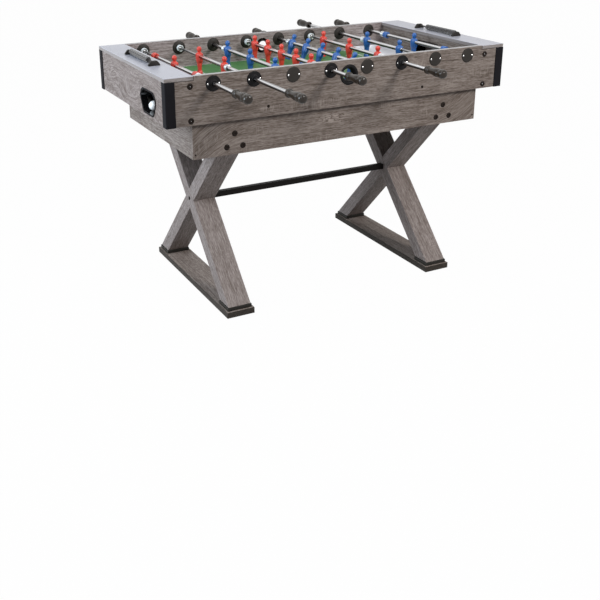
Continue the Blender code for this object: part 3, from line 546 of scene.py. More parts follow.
def chrome(name, tone, roughness, axis_height=None):
    """Plated steel with faint lengthwise polishing marks; on a rod, a painted reflection: dark underneath,
    bright high on the top.
    """
    finish = finish_of(name, roughness=roughness, metallic=1.0)
    where = place_of(finish)
    marks = where.noise((700, 6, 700))
    # Painted reflection: on a rod the colour follows the height round its axis, dark on the underside and
    # brightest high on the top.
    if axis_height:
        level = where.split()[2].fade(axis_height - TUBE_RADIUS, axis_height + TUBE_RADIUS)
        level = level + marks.fade(0.3, 0.7, -0.06, 0.06)
        bands = ((0, 0.16), (0.22, 0.09), (0.4, 0.14), (0.56, 0.36), (0.72, 0.62), (0.84, 1), (1, 0.46))
        colour = level.ramp(*[(stop, tinted((1, 1, 1.02), tone * band)) for stop, band in bands])
    else:
        colour = where.noise((30, 14, 30), 2).ramp((0.3, (tone * 0.86,) * 3), (0.7, (tone,) * 3))
    colour.wire("Base Color")
    marks.fade(0.3, 0.7, roughness - 0.04, roughness + 0.08).wire("Roughness")
    return finish


def banded(name):
    """White rubber between bright steel rings, round the rod."""
    finish = finish_of(name, roughness=0.35)
    where = place_of(finish)
    share = (where.split()[1] * (math.tau / 0.0052)).maths("SINE").fade(-0.15, 0.15)
    white = where.noise((60, 60, 60), 2).ramp((0.3, (0.66, 0.67, 0.68)), (0.7, (0.8, 0.81, 0.82)))
    share.blend(white, (0.36, 0.37, 0.38)).wire("Base Color")
    share.wire("Metallic")
    return finish


def cloth(name, colour):
    """Woven table cloth."""
    finish = finish_of(name, roughness=0.9, Sheen_Weight=0.25, Sheen_Roughness=0.5)
    where = place_of(finish)
    warp, weft = (add(finish, "TexWave", {"Vector": where, "Scale": 330.0, "Distortion": 0.6}, "Fac",
                      wave_type="BANDS", bands_direction=axis) for axis in "XY")
    weave = warp * weft
    value = weave * 0.35 + where.noise((16, 16, 16), 4) * 0.65
    value.ramp((0.2, tinted(colour, 0.72)), (0.7, tinted(colour, 1.2))).wire("Base Color")
    weave.bump(0.0002)
    return finish


def pitch(name):
    """Printed playing board: mown green with white lines."""
    finish = finish_of(name, roughness=0.42)
    where = place_of(finish)
    x, y = (part.maths("ABSOLUTE") for part in where.split()[:2])
    grass = where.noise((70, 70, 70), 4)
    value = grass * 0.5 + where.noise((6, 6, 6), 2) * 0.5
    green = value.ramp((0.3, (0.036, 0.142, 0.036)), (0.7, (0.067, 0.21, 0.063)))

    def line(value, place):
        return value.between(place - LINE_HALF, place + LINE_HALF)
    ring = (x * x + y * y).maths("SQRT")
    white = x.between(-1, LINE_HALF)
    for mark in (line(ring, CENTRE_RING), ring.between(-1, 0.006), line(x, GOAL_LINE),
                 line(x, BOX_LINE) * y.maths("LESS_THAN", BOX_HALF + LINE_HALF),
                 line(y, BOX_HALF) * x.maths("GREATER_THAN", BOX_LINE),
                 y.maths("GREATER_THAN", HALF_INSIDE - 0.004)):
        white = white.maths("MAXIMUM", mark)
    white.blend(green, (0.62, 0.66, 0.62)).wire("Base Color")
    grass.fade(0.3, 0.7, 0.36, 0.5).wire("Roughness")
    grass.bump(0.00008)
    return finish


def top_laminate(name):
    """Pale satin laminate on the end boards, over the darker oak of their edges."""
    finish = finish_of(name, roughness=0.32)
    where = place_of(finish)
    fine = where.noise((500, 18, 500), 4)
    value = fine * 0.5 + where.noise((12, 5, 12)) * 0.5
    pale = value.ramp((0.35, (0.335, 0.338, 0.382)), (0.65, (0.402, 0.405, 0.455)))
    streaks = where.noise((60, 4, 200), 4)
    edge = streaks.ramp((0.35, (0.165, 0.145, 0.138)), (0.65, (0.27, 0.24, 0.232)))
    top = where.split()[2].maths("GREATER_THAN", TABLE_TOP - EASED)
    top.blend(edge, pale).wire("Base Color")
    fine.fade(0.3, 0.7, 0.26, 0.38).wire("Roughness")
    fine.bump(0.00006)
    return finish


def rail_oak(name, centre):
    """A foot rail's oak top with its dark edge band."""
    finish = oak(name, (0, 1, 0), (1, 0, 0), (centre, 0.2, 0), tone=1.12, wave=0.6, calm=1.0)
    shader = finish.node_tree.nodes["Principled BSDF"]
    wood = Pattern(finish, shader.inputs["Base Color"].links[0].from_socket)
    where = place_of(finish)
    x, y, _ = where.split()
    side = (x - centre).maths("ABSOLUTE").maths("GREATER_THAN", RAIL_HALF_WIDTH - EASED)
    end = y.maths("ABSOLUTE").maths("GREATER_THAN", RAIL_HALF_LENGTH - EASED)
    streaks = where.noise((80, 9, 160))
    band = streaks.ramp((0.35, (0.03, 0.025, 0.021)), (0.65, (0.052, 0.044, 0.037)))
    side.maths("MAXIMUM", end).blend(wood, band).wire("Base Color")
    return finish


WALL_OAK = oak("wall oak", shift=(0.3, 0, -0.8), tone=0.95,
               dark_zones=((-0.56, 0.772, 0.1, 0.016), (-0.42, 0.782, 0.12, 0.012),
                           (0.1, 0.776, 0.16, 0.014), (0.5, 0.762, 0.14, 0.009)),
               saw_zones=((-0.13, 0.745, 0.16, 0.018), (-0.3, 0.75, 0.06, 0.015)))
# Painted light: the far wall's inner face gets a much lighter, bluer copy of the oak, for light it lacks and
# against the green light the pitch bounces onto it.
BACK_OAK = oak("far wall oak", shift=(1.7, 0.2, -0.79), tone=1.38, light_tint=(1.0, 1.03, 1.14))
APRON_OAK = oak("apron oak", shift=(2.1, 0, -0.672), tone=0.99, sweep=2.0,
                knots=((-0.05, 0.68, 0.07, 0.026),),
                dark_zones=((0.1, 0.701, 0.13, 0.01), (-0.285, 0.64, 0.07, 0.008)),
                saw_zones=((-0.12, 0.612, 0.1, 0.012), (0.15, 0.607, 0.07, 0.008),
                           (-0.19, 0.705, 0.03, 0.02)))
APRON_END_OAK = oak("apron end oak", along=(0, 1, 0), shift=(0.7, 0.1, -0.66), tone=1.08)
# Partly painted light: the end panel's lighter, bluer tone stands for the cool side light on it; its wavier,
# swelling grain is its own.
END_OAK = oak("end panel oak", along=(0, 1, 0), shift=(0.25, 0.05, -0.78), tone=1.2, wave=1.9,
              depth=0.34, calm=0.4, light_tint=(1.0, 1.0, 1.04),
              swells=((-0.19, 0.8, 0.2, 0.08, 0.03), (0.1, 0.86, 0.22, 0.09, 0.026),
                      (0.19, 0.8, 0.2, 0.08, 0.03)),
              dark_zones=((0.12, 0.84, 0.16, 0.03), (-0.06, 0.83, 0.16, 0.03), (-0.24, 0.83, 0.08, 0.04)))
GOAL_OAK = oak("goal wall oak", along=(0, 1, 0), shift=(1.1, 0, -0.8), tone=0.9)
BED_OAK = oak("bed board oak", shift=(0.9, 0, 0), across=(0, 1, 0), tone=0.8)
TOP_PALE = top_laminate("pale top laminate")
# Painted highlight: a pale colour on the long walls' top edges, for the light those edges catch.
PAINTED_EDGE_HIGHLIGHT = plastic("pale edge band", (0.34, 0.33, 0.33), 0.4, grain=0, mottling=0.06)
MOULDED = plastic("black moulded plastic", (0.015, 0.0132, 0.0112), 0.44, shine=0.2)
# Partly painted shade: darker and bluer than the cover plastic, for the handled bearings lying in their
# handles' shade; the serve funnels use it too.
BEARING_SHADE_BLACK = plastic("black bearing plastic", (0.0078, 0.0074, 0.0078), 0.44, shine=0.1)
COVER = plastic("cover disc plastic", (0.018, 0.015, 0.0125), 0.46, shine=0.22)
GUARD_BLACK = plastic("black corner plastic", (0.0105, 0.01, 0.0118), 0.55, shine=0.04)
# Partly painted shade: the goal opening's lining is blacker than any other plastic, so the opening reads as
# the shade inside the goal.
GOAL_SHADE_BLACK = plastic("goal lining", (0.004, 0.004, 0.0045), 0.6, shine=0.04)
CUP_BLACK = plastic("glossy cup plastic", (0.005, 0.0046, 0.0052), 0.09, grain=0, shine=0.5)
BAR_BLACK = plastic("black powder coat", (0.01, 0.0085, 0.0078), 0.42, shine=0.08)
BOLT_BLACK = plastic("black bolt steel", (0.013, 0.009, 0.007), 0.42, grain=0, shine=0.08)
SHOE_BLACK = plastic("black shoe plastic", (0.014, 0.0125, 0.01), 0.5, shine=0.2)
BEAD_GREY = plastic("bead plastic", (0.032, 0.029, 0.029), 0.26, shine=0.6, coat=0.55)
GRIP = plastic("dark grip", (0.018, 0.0128, 0.0088), 0.42, grain=0.00002, shine=0.06, coat=0.5)
RED_MAN = plastic("red player plastic", (0.56, 0.042, 0.026), 0.34, mottling=0.06)
BLUE_MAN = plastic("blue player plastic", (0.014, 0.088, 0.3), 0.34, mottling=0.08)
TUBE_CHROME = chrome("chromed tube", 0.8, 0.16, ROD_HEIGHT)
SHAFT_STEEL = chrome("inner shaft steel", 0.5, 0.28, ROD_HEIGHT)
SCREW_STEEL = chrome("bright screw steel", 0.86, 0.22)
BUMPER = banded("bumper and steel rings")
PITCH = pitch("printed pitch")
TRAY_WHITE = plastic("white end tray", (0.78, 0.78, 0.82), 0.38, grain=0, mottling=0.03)
POOL_CLOTH = cloth("pool cloth", (0.03, 0.25, 0.06))
SLEEVE_WHITE = plastic("white sleeve plastic", (0.66, 0.7, 0.71), 0.34, grain=0, mottling=0.05)
BALL_WHITE = plastic("white ball", (0.93, 0.93, 0.92), 0.34, grain=0.0001, mottling=0.02)


# Fixings


def add_bolt(mesh, centre, axis, side, radius=0.0104, height=0.0026):
    """A low round head with a socket, from under its face to its top."""
    profile = [(-0.002, 0), (-0.002, radius), (height * 0.4, radius), (height, radius * 0.72),
               (height, radius * 0.42), (height * 0.2, radius * 0.36), (height * 0.2, 0)]
    add_turned(mesh, soft_corners(profile, 0.0006, 3, closed=False), side, centre, axis, 24)


def add_screw(mesh, centre, side, radius=0.0028, height=0.0012):
    profile = [(-0.001, 0), (-0.001, radius), (height * 0.3, radius), (height * 0.8, radius * 0.7),
               (height, 0)]
    add_turned(mesh, profile, side, centre, "Y", 16)


# Base


def dress_base():
    cushion = soft_corners([(0.0002, BASE_TOP - 0.0004), (0.0265, BASE_TOP - 0.0037),
                            (0.03, BASE_TOP - 0.011), (0.0105, BASE_TOP - 0.0298),
                            (0.0002, BASE_TOP - 0.0298)], 0.003, 4)
    for name, side in LONG_SIDES:
        face = side * HALF_BASE_WIDTH
        wall = side * APRON_INNER
        mesh = block((-HALF_BASE_LENGTH, face, BASE_BOTTOM), (HALF_BASE_LENGTH, wall, BASE_TOP))
        new_piece(f"{name}_apron_board", mesh, APRON_OAK, TABLE, "grey_oak", [f"apron_{name}"], even=True)
        bolts = bmesh.new()
        for end in (-1, 1):
            for shift, height in ((0, 0.673), (-0.03, 0.628), (0.03, 0.628)):
                add_bolt(bolts, (end * LEG_CENTRE + shift, face, height), "Y", side)
            for height in (0.616, 0.729):
                add_bolt(bolts, (end * 0.5775, face, height), "Y", side, 0.003, 0.0012)
        new_piece(f"{name}_apron_bolts", bolts, BOLT_BLACK, TABLE, "black_steel")
        mesh = bmesh.new()
        for low, high in ((-0.5045, -0.034), (0.034, 0.5045)):
            add_strip(mesh, cushion, wall, -side, low, high, "X", 0.45)
        new_piece(f"{name}_cushions", mesh, POOL_CLOTH, TABLE, "pool_cloth", [f"apron_{name}"])
    for name, side in ENDS:
        wall = side * (HALF_BASE_LENGTH - WALL)
        half = APRON_INNER - GAP
        mesh = block((side * HALF_BASE_LENGTH, -half, BASE_BOTTOM), (wall, half, BASE_TOP))
        new_piece(f"{name}_apron_board", mesh, APRON_END_OAK, TABLE, "grey_oak", [f"apron_{name}"], even=True)
        mesh = bmesh.new()
        add_strip(mesh, cushion, wall, -side, -0.2424, 0.2424, "Y", 0.45)
        new_piece(f"{name}_cushion", mesh, POOL_CLOTH, TABLE, "pool_cloth", [f"apron_{name}"])
    dress_pool_bed()
    dress_legs()


def dress_pool_bed():
    """Cloth bed on its board, with six holes, pocket cups and their caps."""
    half_x = HALF_BASE_LENGTH - WALL - GAP
    half_y = APRON_INNER - GAP
    places = [(x, y) for x in (-POCKET_X, 0, POCKET_X) for y in (-POCKET_Y, POCKET_Y)]
    outline = rectangle(-half_x, half_x, -half_y, half_y)
    holes = [circle(x, y, 0.024) for x, y in places]
    for name, finish, low, high in (("pool_cloth", POOL_CLOTH, BED_TOP - 0.0015, BED_TOP),
                                    ("pool_bed_board", BED_OAK, BED_BOTTOM, BED_TOP - 0.0016)):
        mesh = board(outline, low, high, "Z", holes, 0)
        new_piece(name, mesh, finish, TABLE, "pool_cloth", ["pool_bed"])
    cups = bmesh.new()
    floor = BED_TOP - 0.052
    neck = BED_BOTTOM - GAP
    rim = BED_TOP - 0.001
    profile = soft_corners([(floor, 0), (floor, 0.0265), (neck, 0.0265), (neck, 0.0238), (rim, 0.0238),
                            (rim, 0.0222), (floor + 0.0025, 0.0222), (floor + 0.0025, 0)], 0.002, 3, False)
    for x, y in places:
        add_turned(cups, profile, 1, (x, y, 0), "Z", 32)
    new_piece("pocket_cups", cups, MOULDED, TABLE, "black_plastic", ["pool_bed"])
    plates = [(-0.031, 0.031, 0.2862)]
    for end in (-1, 1):
        plates += [(end * 0.5685, end * 0.5445, 0.25), (end * 0.544, end * 0.512, 0.284)]
    caps = bmesh.new()
    for side in (-1, 1):
        for near, far, inner in plates:
            add_block(caps, (near, side * inner, BASE_TOP - 0.0028), (far, side * 0.3062, BASE_TOP - 0.0004),
                      0.0008)
    new_piece("pocket_caps", caps, MOULDED, TABLE, "black_plastic", ["pool_bed"])


def dress_legs():
    lean = math.atan2(LEG_REACH, LEG_RISE)
    for name, end in ENDS:
        centre = end * LEG_CENTRE
        for part, side in (("through_beam", 1), ("upper_half", -1), ("lower_half", -1)):
            node = f"{name}_leg_{part}"
            along = (0, side * math.sin(lean), math.cos(lean))
            shift = (0.4 * end + 0.23 * side, 0.05, -centre)
            # Partly painted light: the legs get a lighter, bluer copy of the oak for the cool light falling
            # on their lower parts.
            finish = oak(f"{name} {part} oak".replace("_", " "), along, (1, 0, 0), shift, tone=1.26,
                         wave=0.6, calm=1.0, light_tint=(0.98, 1.0, 1.05))
            mesh = copy_of_node(node, EASED)
            new_piece(f"{node}_board", mesh, finish, TABLE, "grey_oak", [node], even=True)
        rail = f"{name}_foot_rail"
        mesh = block((centre - RAIL_HALF_WIDTH, -RAIL_HALF_LENGTH, 0),
                     (centre + RAIL_HALF_WIDTH, RAIL_HALF_LENGTH, 0.0225), 0.0012)
        finish = rail_oak(f"{name} rail oak", centre)
        new_piece(f"{rail}_board", mesh, finish, TABLE, "grey_oak", [rail], even=True)
        shoes = bmesh.new()
        cut = HALF_LEG_THICKNESS * math.hypot(1, LEG_REACH / LEG_RISE) + 0.003
        for side in (-1, 1):
            add_block(shoes, (centre - 0.047, side * SHOE_CENTRE - cut, 0.0222),
                      (centre + 0.047, side * SHOE_CENTRE + cut, 0.0357), 0.0016, 3)
        new_piece(f"{name}_shoes", shoes, SHOE_BLACK, TABLE, "black_plastic", [rail], even=True)
        bolt = bmesh.new()
        add_bolt(bolt, (end * (LEG_CENTRE + HALF_LEG_DEPTH), 0, LEG_CROSS), "X", end, 0.0075, 0.003)
        new_piece(f"{name}_crossing_bolt", bolt, BOLT_BLACK, TABLE, "black_steel")
    inner = LEG_CENTRE - HALF_LEG_DEPTH - GAP
    mesh = block((-inner, -0.011, LEG_CROSS - 0.011), (inner, 0.011, LEG_CROSS + 0.011), 0.0018, 3)
    new_piece("stretcher_bar", mesh, BAR_BLACK, TABLE, "black_steel", ["stretcher"], even=True)


# Football cabinet


def rod_x(rod):
    return (rod - 4.5) * ROD_PITCH


def handle_side(rod):
    return -1 if rod in NEAR_HANDLED else 1


def dress_long_walls():
    notch = BOARD_INNER - GROOVE
    shoulder = BOARD_BOTTOM - GROOVE
    outline = [(-HALF_CABINET, CABINET_BOTTOM), (HALF_CABINET, CABINET_BOTTOM), (HALF_CABINET, shoulder),
               (notch, shoulder), (notch, TABLE_TOP), (-notch, TABLE_TOP), (-notch, shoulder),
               (-HALF_CABINET, shoulder)]
    for name, side in LONG_SIDES:
        face = side * HALF_WIDTH
        wood = WALL_OAK if side < 0 else BACK_OAK
        holes = [circle(rod_x(rod), ROD_HEIGHT, 0.0084, 32) for rod in RODS if handle_side(rod) == side]
        holes.append(circle(0, SERVE_HEIGHT, 0.0305, 64))
        wall = board(outline, face, side * HALF_INSIDE, "Y", holes)
        new_piece(f"{name}_wall_board", wall, wood, CABINET, "grey_oak", [f"{name}_wall"], even=True)
        # Painted highlight: the pale strip on the wall's top stands for the light that edge catches.
        band = block((-notch + 0.0004, face - side * 0.0002, TABLE_TOP - 0.0012),
                     (notch - 0.0004, side * (HALF_INSIDE + 0.0002), TABLE_TOP + 0.0004), 0.0004)
        new_piece(f"{name}_wall_edge_highlight", band, PAINTED_EDGE_HIGHLIGHT, CABINET, "grey_oak", even=True)
        dress_bearings(name, side)
        bolts = bmesh.new()
        # Partly painted highlight: a bright steel dot in each bolt's socket, put there for the glint the
        # socket shows.
        sockets = bmesh.new()
        for end in (-1, 1):
            for height in (0.8535, 0.7398):
                add_bolt(bolts, (end * WALL_BOLT_X, face, height), "Y", side)
                seat = side * (HALF_WIDTH + 0.0008)
                add_screw(sockets, (end * WALL_BOLT_X, seat, height), side, 0.0011, 0.0008)
            add_bolt(bolts, (end * 0.3164, face, 0.7575), "Y", side, 0.0053, 0.0016)
        add_bolt(bolts, (-side * 0.047, face, 0.8185), "Y", side, 0.0046, 0.0016)
        new_piece(f"{name}_wall_bolts", bolts, BOLT_BLACK, CABINET, "black_steel")
        new_piece(f"{name}_wall_bolt_socket_glints", sockets, SCREW_STEEL, CABINET, "chrome")
        cleat = block((-HALF_CLEAT, side * (HALF_INSIDE - WALL), BASE_TOP + GAP),
                      (HALF_CLEAT, side * (HALF_INSIDE - GAP), FIELD_BOTTOM - GAP))
        new_piece(f"{name}_cleat", cleat, GOAL_OAK, CABINET, "grey_oak", even=True)


def dress_bearings(name, side):
    """Bearing discs with hubs at the handles, plain cover discs at the shafts, and their screws."""
    discs = bmesh.new()
    covers = bmesh.new()
    screws = bmesh.new()
    for rod in RODS:
        outer = (rod_x(rod), side * HALF_WIDTH, ROD_HEIGHT)
        inner = (rod_x(rod), side * HALF_INSIDE, ROD_HEIGHT)
        handled = handle_side(rod) == side
        hole = 7.7 if handled else 5.1
        if handled:
            profile = mm((-0.8, hole), (-0.8, 26.5), (1.8, 26.5), (3, 25), (3.4, 15), (4.4, 13.5), (8, 12.2),
                         (9, 11), (9, hole))
        else:
            profile = mm((-0.8, 0), (-0.8, 26.5), (1.8, 26.5), (3, 25), (3.3, 12), (3.4, 0))
        mesh = discs if handled else covers
        add_turned(mesh, soft_corners(profile, 0.0007, 3, handled), side, outer, "Y", 56)
        profile = mm((1, hole), (1, 26.5), (-1.2, 26.5), (-3, 24), (-5, 13.5), (-5, hole))
        add_turned(covers, soft_corners(profile, 0.0008, 3), side, inner, "Y", 56)
        for across in (-1, 1):
            add_screw(screws, (outer[0] + across * 0.02, outer[1] + side * 0.0028, ROD_HEIGHT), side)
    # The handled bearing discs get the darker plastic, partly painted shade.
    new_piece(f"{name}_bearings", discs, BEARING_SHADE_BLACK, CABINET, "black_plastic", [f"{name}_wall"])
    new_piece(f"{name}_rod_covers", covers, COVER, CABINET, "black_plastic", [f"{name}_wall"])
    new_piece(f"{name}_bearing_screws", screws, SCREW_STEEL, CABINET, "chrome")


def dress_serve_cups():
    profile = mm((0.3, 30.1), (0.3, 36.2), (1.2, 36.2), (2.5, 34.8), (2.5, 27.5), (-6, 22.2), (-11, 19.5),
                 (-20.5, 19), (-20.5, 23.7), (-10, 24))
    profile = soft_corners(profile, 0.001, 3)
    for name, side in LONG_SIDES:
        cup = turned(profile, side, (0, side * HALF_WIDTH, SERVE_HEIGHT), 64)
        new_piece(f"{name}_serve_funnel", cup, BEARING_SHADE_BLACK, CABINET, "black_plastic", [f"{name}_serve_cup"])


def return_outline(side, grow=0.0):
    """Outline of the ball return, across the end and up."""
    middle = side * RETURN_MIDDLE
    low = CABINET_BOTTOM + 0.0145
    high = low + 0.0795 + grow
    reach = RETURN_HALF + grow
    corners = [(-0.049, low - grow), (0.049, low - grow), (reach, low + 0.053), (0.053 + grow / 2, high),
               (-0.053 - grow / 2, high), (-reach, low + 0.053)]
    return [(middle + across, up) for across, up in soft_corners(corners, 0.016, 6)]


def dress_ends():
    half = HALF_INSIDE - GAP
    outline = rectangle(-half, half, CABINET_BOTTOM, BOARD_BOTTOM - GAP)
    for name, side in ENDS:
        panel = board(outline, side * PANEL_INNER, side * HALF_CABINET, "X", [return_outline(side)])
        new_piece(f"{name}_end_board", panel, END_OAK, CABINET, "grey_oak", [f"{name}_end_panel"], even=True)
        dress_return_cup(name, side)
        dress_goal_wall(name, side, outline)
        mesh = block((side * BOARD_INNER, -HALF_WIDTH, BOARD_BOTTOM),
                     (side * HALF_TABLE, HALF_WIDTH, TABLE_TOP), 0.001, 3)
        new_piece(f"{name}_top", mesh, TOP_PALE, CABINET, "pale_top", [f"{name}_top_board"], even=True)
        dress_scorer(name, side)
        for row, depth in LONG_SIDES:
            dress_corner(f"corner_guard_{name}_{row}", side, depth)


def dress_return_cup(name, side):
    """Moulded cup with a lip, open on the middle side for the ball to roll in."""
    # How far each loop stands outside the outline, and how far it stands out from the panel
    steps = mm((2.5, 0.3), (2.5, 1.4), (1.8, 2), (-1.8, 2), (-2.5, 1.4), (-2.6, -62), (-6, -65.4), (-3, -68),
               (-0.4, -65), (-0.4, 0.3))
    cup = bmesh.new()
    loops = [[cup.verts.new((side * (HALF_CABINET + out), y, z)) for y, z in return_outline(side, grow)]
             for grow, out in steps]
    inside_back, outside_back = loops[6:8]
    for one, two in zip(loops, loops[1:] + loops[:1]):
        if one is not inside_back:
            for k in range(len(one)):
                cup.faces.new((one[k - 1], one[k], two[k], two[k - 1]))
    for loop in (inside_back, outside_back):
        cup.faces.new(loop)
    piece = new_piece(f"{name}_return_pocket", cup, CUP_BLACK, CABINET, "black_plastic",
                      [f"{name}_return_cup"])
    lip = board(return_outline(side, 0.0036), side * (HALF_CABINET + 0.0021), side * (HALF_CABINET + 0.0031),
                "X", [return_outline(side, -0.0018)], 0.0004)
    new_piece(f"{name}_return_lip", lip, GUARD_BLACK, CABINET, "black_plastic")
    edge = side * RETURN_MIDDLE - side * RETURN_HALF
    cut_away(piece, block((side * (PANEL_INNER - 0.002), edge - 0.0165, 0.7425),
                          (side * (PANEL_INNER - 0.04), edge + 0.0165, 0.7805), 0))


def dress_goal_wall(name, side, outline):
    goal = soft_corners(rectangle(-GOAL_HALF, GOAL_HALF, FIELD_TOP, FIELD_TOP + GOAL_HEIGHT), 0.014, 6)
    wall = board(outline, side * HALF_FIELD, side * GOAL_WALL_OUTER, "X", [goal])
    new_piece(f"{name}_goal_board", wall, GOAL_OAK, CABINET, "grey_oak", [f"{name}_goal_wall"], even=True)
    middle = FIELD_TOP + GOAL_HEIGHT / 2
    rim, inner = ([(across * wide, middle + (up - middle) * high) for across, up in goal]
                  for wide, high in ((0.999, 0.998), (0.98, 0.96)))
    # The near-black lining of the goal opening is partly painted shade.
    lining = board(rim, side * (HALF_FIELD - 0.0002), side * (GOAL_WALL_OUTER + 0.0002), "X", [inner], 0)
    new_piece(f"{name}_goal_shade_lining", lining, GOAL_SHADE_BLACK, CABINET, "black_plastic")
    low = CABINET_BOTTOM + 0.019
    start = side * 0.0935
    end = -side * 0.0915
    section = [(start, low - 0.005), (end, low + 0.019), (end, low + 0.024), (start, low)]
    slope = board(section, side * (GOAL_WALL_OUTER + GAP), side * (PANEL_INNER - GAP), "X")
    new_piece(f"{name}_ball_trough", slope, MOULDED, CABINET, "black_plastic", [f"{name}_goal_wall"])


def dress_corner(node, end, side):
    """An angle strip on an upright corner, rounded on its edges."""
    x = end * (HALF_CABINET + GAP)
    y = side * (HALF_WIDTH + GAP)
    wall = 0.003
    along = x - end * 0.031
    across = y - side * 0.029
    outline = [(along, y), (x, y), (x, across), (x + end * wall, across), (x + end * wall, y + side * wall),
               (along, y + side * wall)]
    curve = soft_corners(outline, (EASED, 0.0002, EASED, EASED, wall, EASED))
    mesh = board(curve, CABINET_BOTTOM, BOARD_BOTTOM - GAP, "Z", (), 0)
    new_piece(f"{node}_strip", mesh, GUARD_BLACK, CABINET, "black_plastic", [node])


def dress_scorer(name, side):
    """Rail between two moulded brackets, with ten fluted beads."""
    x = side * SCORER_X
    axis = TABLE_TOP + SCORER_RISE
    seat = TABLE_TOP + GAP
    foot = 0.0215
    crown = 0.0105
    outline = [(x - foot, seat), (x + foot, seat), (x + foot, seat + 0.004), (x + crown, seat + 0.017),
               (x - crown, seat + 0.017), (x - foot, seat + 0.004)]
    outline = soft_corners(outline, 0.004)
    brackets = bmesh.new()
    for end in (-1, 1):
        one = board(outline, end * 0.118, end * 0.127, "Y", (), 0.0012)
        data = bpy.data.meshes.new("bracket")
        one.to_mesh(data)
        one.free()
        brackets.from_mesh(data)
        bpy.data.meshes.remove(data)
    reach = 0.1225
    rail = [(-reach, 0), (-reach, 0.0028), (reach, 0.0028), (reach, 0)]
    add_turned(brackets, rail, 1, (x, 0, axis), "Y", 24)
    new_piece(f"{name}_scorer_stand", brackets, MOULDED, CABINET, "black_plastic", [f"{name}_scorer_frame"])
    low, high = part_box(f"{name}_score_beads")
    pitch = (high[1] - low[1]) / 10
    beads = bmesh.new()
    for bead in range(10):
        start = low[1] + bead * pitch
        loops = []
        for along, share in ((0.0002, 0.9), (0.0008, 0.98), (0.002, 1.0), (pitch - 0.002, 1.0),
                             (pitch - 0.0008, 0.98), (pitch - 0.0002, 0.9)):
            loop = bmesh.ops.create_circle(beads, segments=36, radius=BEAD_RADIUS * share)["verts"]
            for vert in loop[::3]:
                vert.co *= 0.82
            bmesh.ops.rotate(beads, verts=loop, matrix=Matrix.Rotation(math.pi / 2, 3, "X"))
            bmesh.ops.translate(beads, verts=loop, vec=(x, start + along, axis))
            loops.append(loop)
        skin(beads, loops)
    new_piece(f"{name}_beads", beads, BEAD_GREY, f"{name}_beads", "black_plastic", [f"{name}_score_beads"])


def dress_playfield():
    """The printed board, and at each end a white tray with a coved rim along the walls."""
    half_x = HALF_FIELD - GAP
    half_y = HALF_INSIDE - GAP
    field = block((-half_x, -half_y, FIELD_BOTTOM), (half_x, half_y, FIELD_TOP), 0.0004, 1)
    new_piece("pitch_board", field, PITCH, CABINET, "green_field", ["playfield"], even=True)
    turns = [math.pi / 2 * k / 7 for k in range(1, 8)]
    cove = [(0.0006 + 0.0114 * (1 - math.cos(turn)), 0.012 - 0.0118 * math.sin(turn)) for turn in turns]
    cove = [(0, 0), (0, 0.012), (0.0006, 0.012)] + cove + [(0.012, 0)]
    cove = [(depth, FIELD_TOP + height) for depth, height in cove]
    for name, end in ENDS:
        tray = bmesh.new()
        outer = end * half_x
        low, high = sorted((end * (half_x - TRAY_LENGTH), outer))
        add_block(tray, (low, -half_y, FIELD_TOP - 0.0002), (high, half_y, FIELD_TOP + 0.0006))
        for side in (-1, 1):
            add_strip(tray, cove, side * half_y, -side, low, high, "X")
            across = sorted((side * 0.087, side * half_y))
            add_strip(tray, cove, outer, -end, *across, "Y")
        new_piece(f"{name}_end_tray", tray, TRAY_WHITE, CABINET, "white_ball",
                  ["playfield", f"{name}_goal_wall"])


def dress_ball():
    ball = bmesh.new()
    bmesh.ops.create_icosphere(ball, subdivisions=4, radius=BALL_RADIUS)
    low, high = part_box("match_ball")
    bmesh.ops.translate(ball, verts=ball.verts, vec=(Vector(low) + Vector(high)) / 2)
    new_piece("ball", ball, BALL_WHITE, CABINET, "white_ball", ["match_ball"])


# Rods


def add_man(mesh, place):
    """A figure from foot to head, with its arms at its sides."""
    # Height, depth and width in millimetres, and how square the figure is there
    shape = ((-68, 8.8, 10, 3.4), (-67.2, 9.6, 11, 3.4), (-59, 9.6, 11, 3.2), (-56.8, 8.8, 10, 3.0),
             (-52, 6.8, 8.6, 2.6), (-46, 6.8, 8.6, 2.6), (-38, 8, 9.8, 2.6), (-29, 9, 11, 2.6),
             (-24, 9.8, 11.6, 2.6), (-23, 10.8, 12.6, 2.6), (-14, 12.2, 13.6, 2.5), (-6, 13.1, 14.2, 2.5),
             (1, 13.6, 14.7, 2.4), (6.5, 13.3, 15.1, 2.4), (10, 12, 14.8, 2.3), (12.6, 9.4, 11.8, 2.2),
             (14.5, 6.6, 7.4, 2), (16.2, 5.6, 5.8, 2), (17.8, 6.4, 6.4, 2), (20.2, 8.1, 7.9, 2),
             (24, 9.1, 9, 2), (28.2, 9.2, 9.1, 2), (31.8, 8.3, 8.2, 2), (34.4, 6.1, 6, 2),
             (35.9, 3.2, 3.1, 2))
    arm = mm((10.6, 2.4, 12.6), (9, 4.2, 13.6), (3, 4.6, 14.3), (-5, 4, 14.4), (-13, 3.6, 14.4),
             (-18, 3.2, 14), (-20, 1.8, 13.6))
    first = len(mesh.verts)
    skin(mesh, [add_ring(mesh, (0, 0, height / 1000), depth / 1000, width / 1000, 20, fullness)
                for height, depth, width, fullness in shape])
    for side in (-1, 1):
        skin(mesh, [add_ring(mesh, (-0.001, side * along, height), radius * 1.3, radius * 0.8, 12)
                    for height, radius, along in arm])
    mesh.verts.ensure_lookup_table()
    bmesh.ops.translate(mesh, verts=mesh.verts[first:], vec=(0, place, 0))


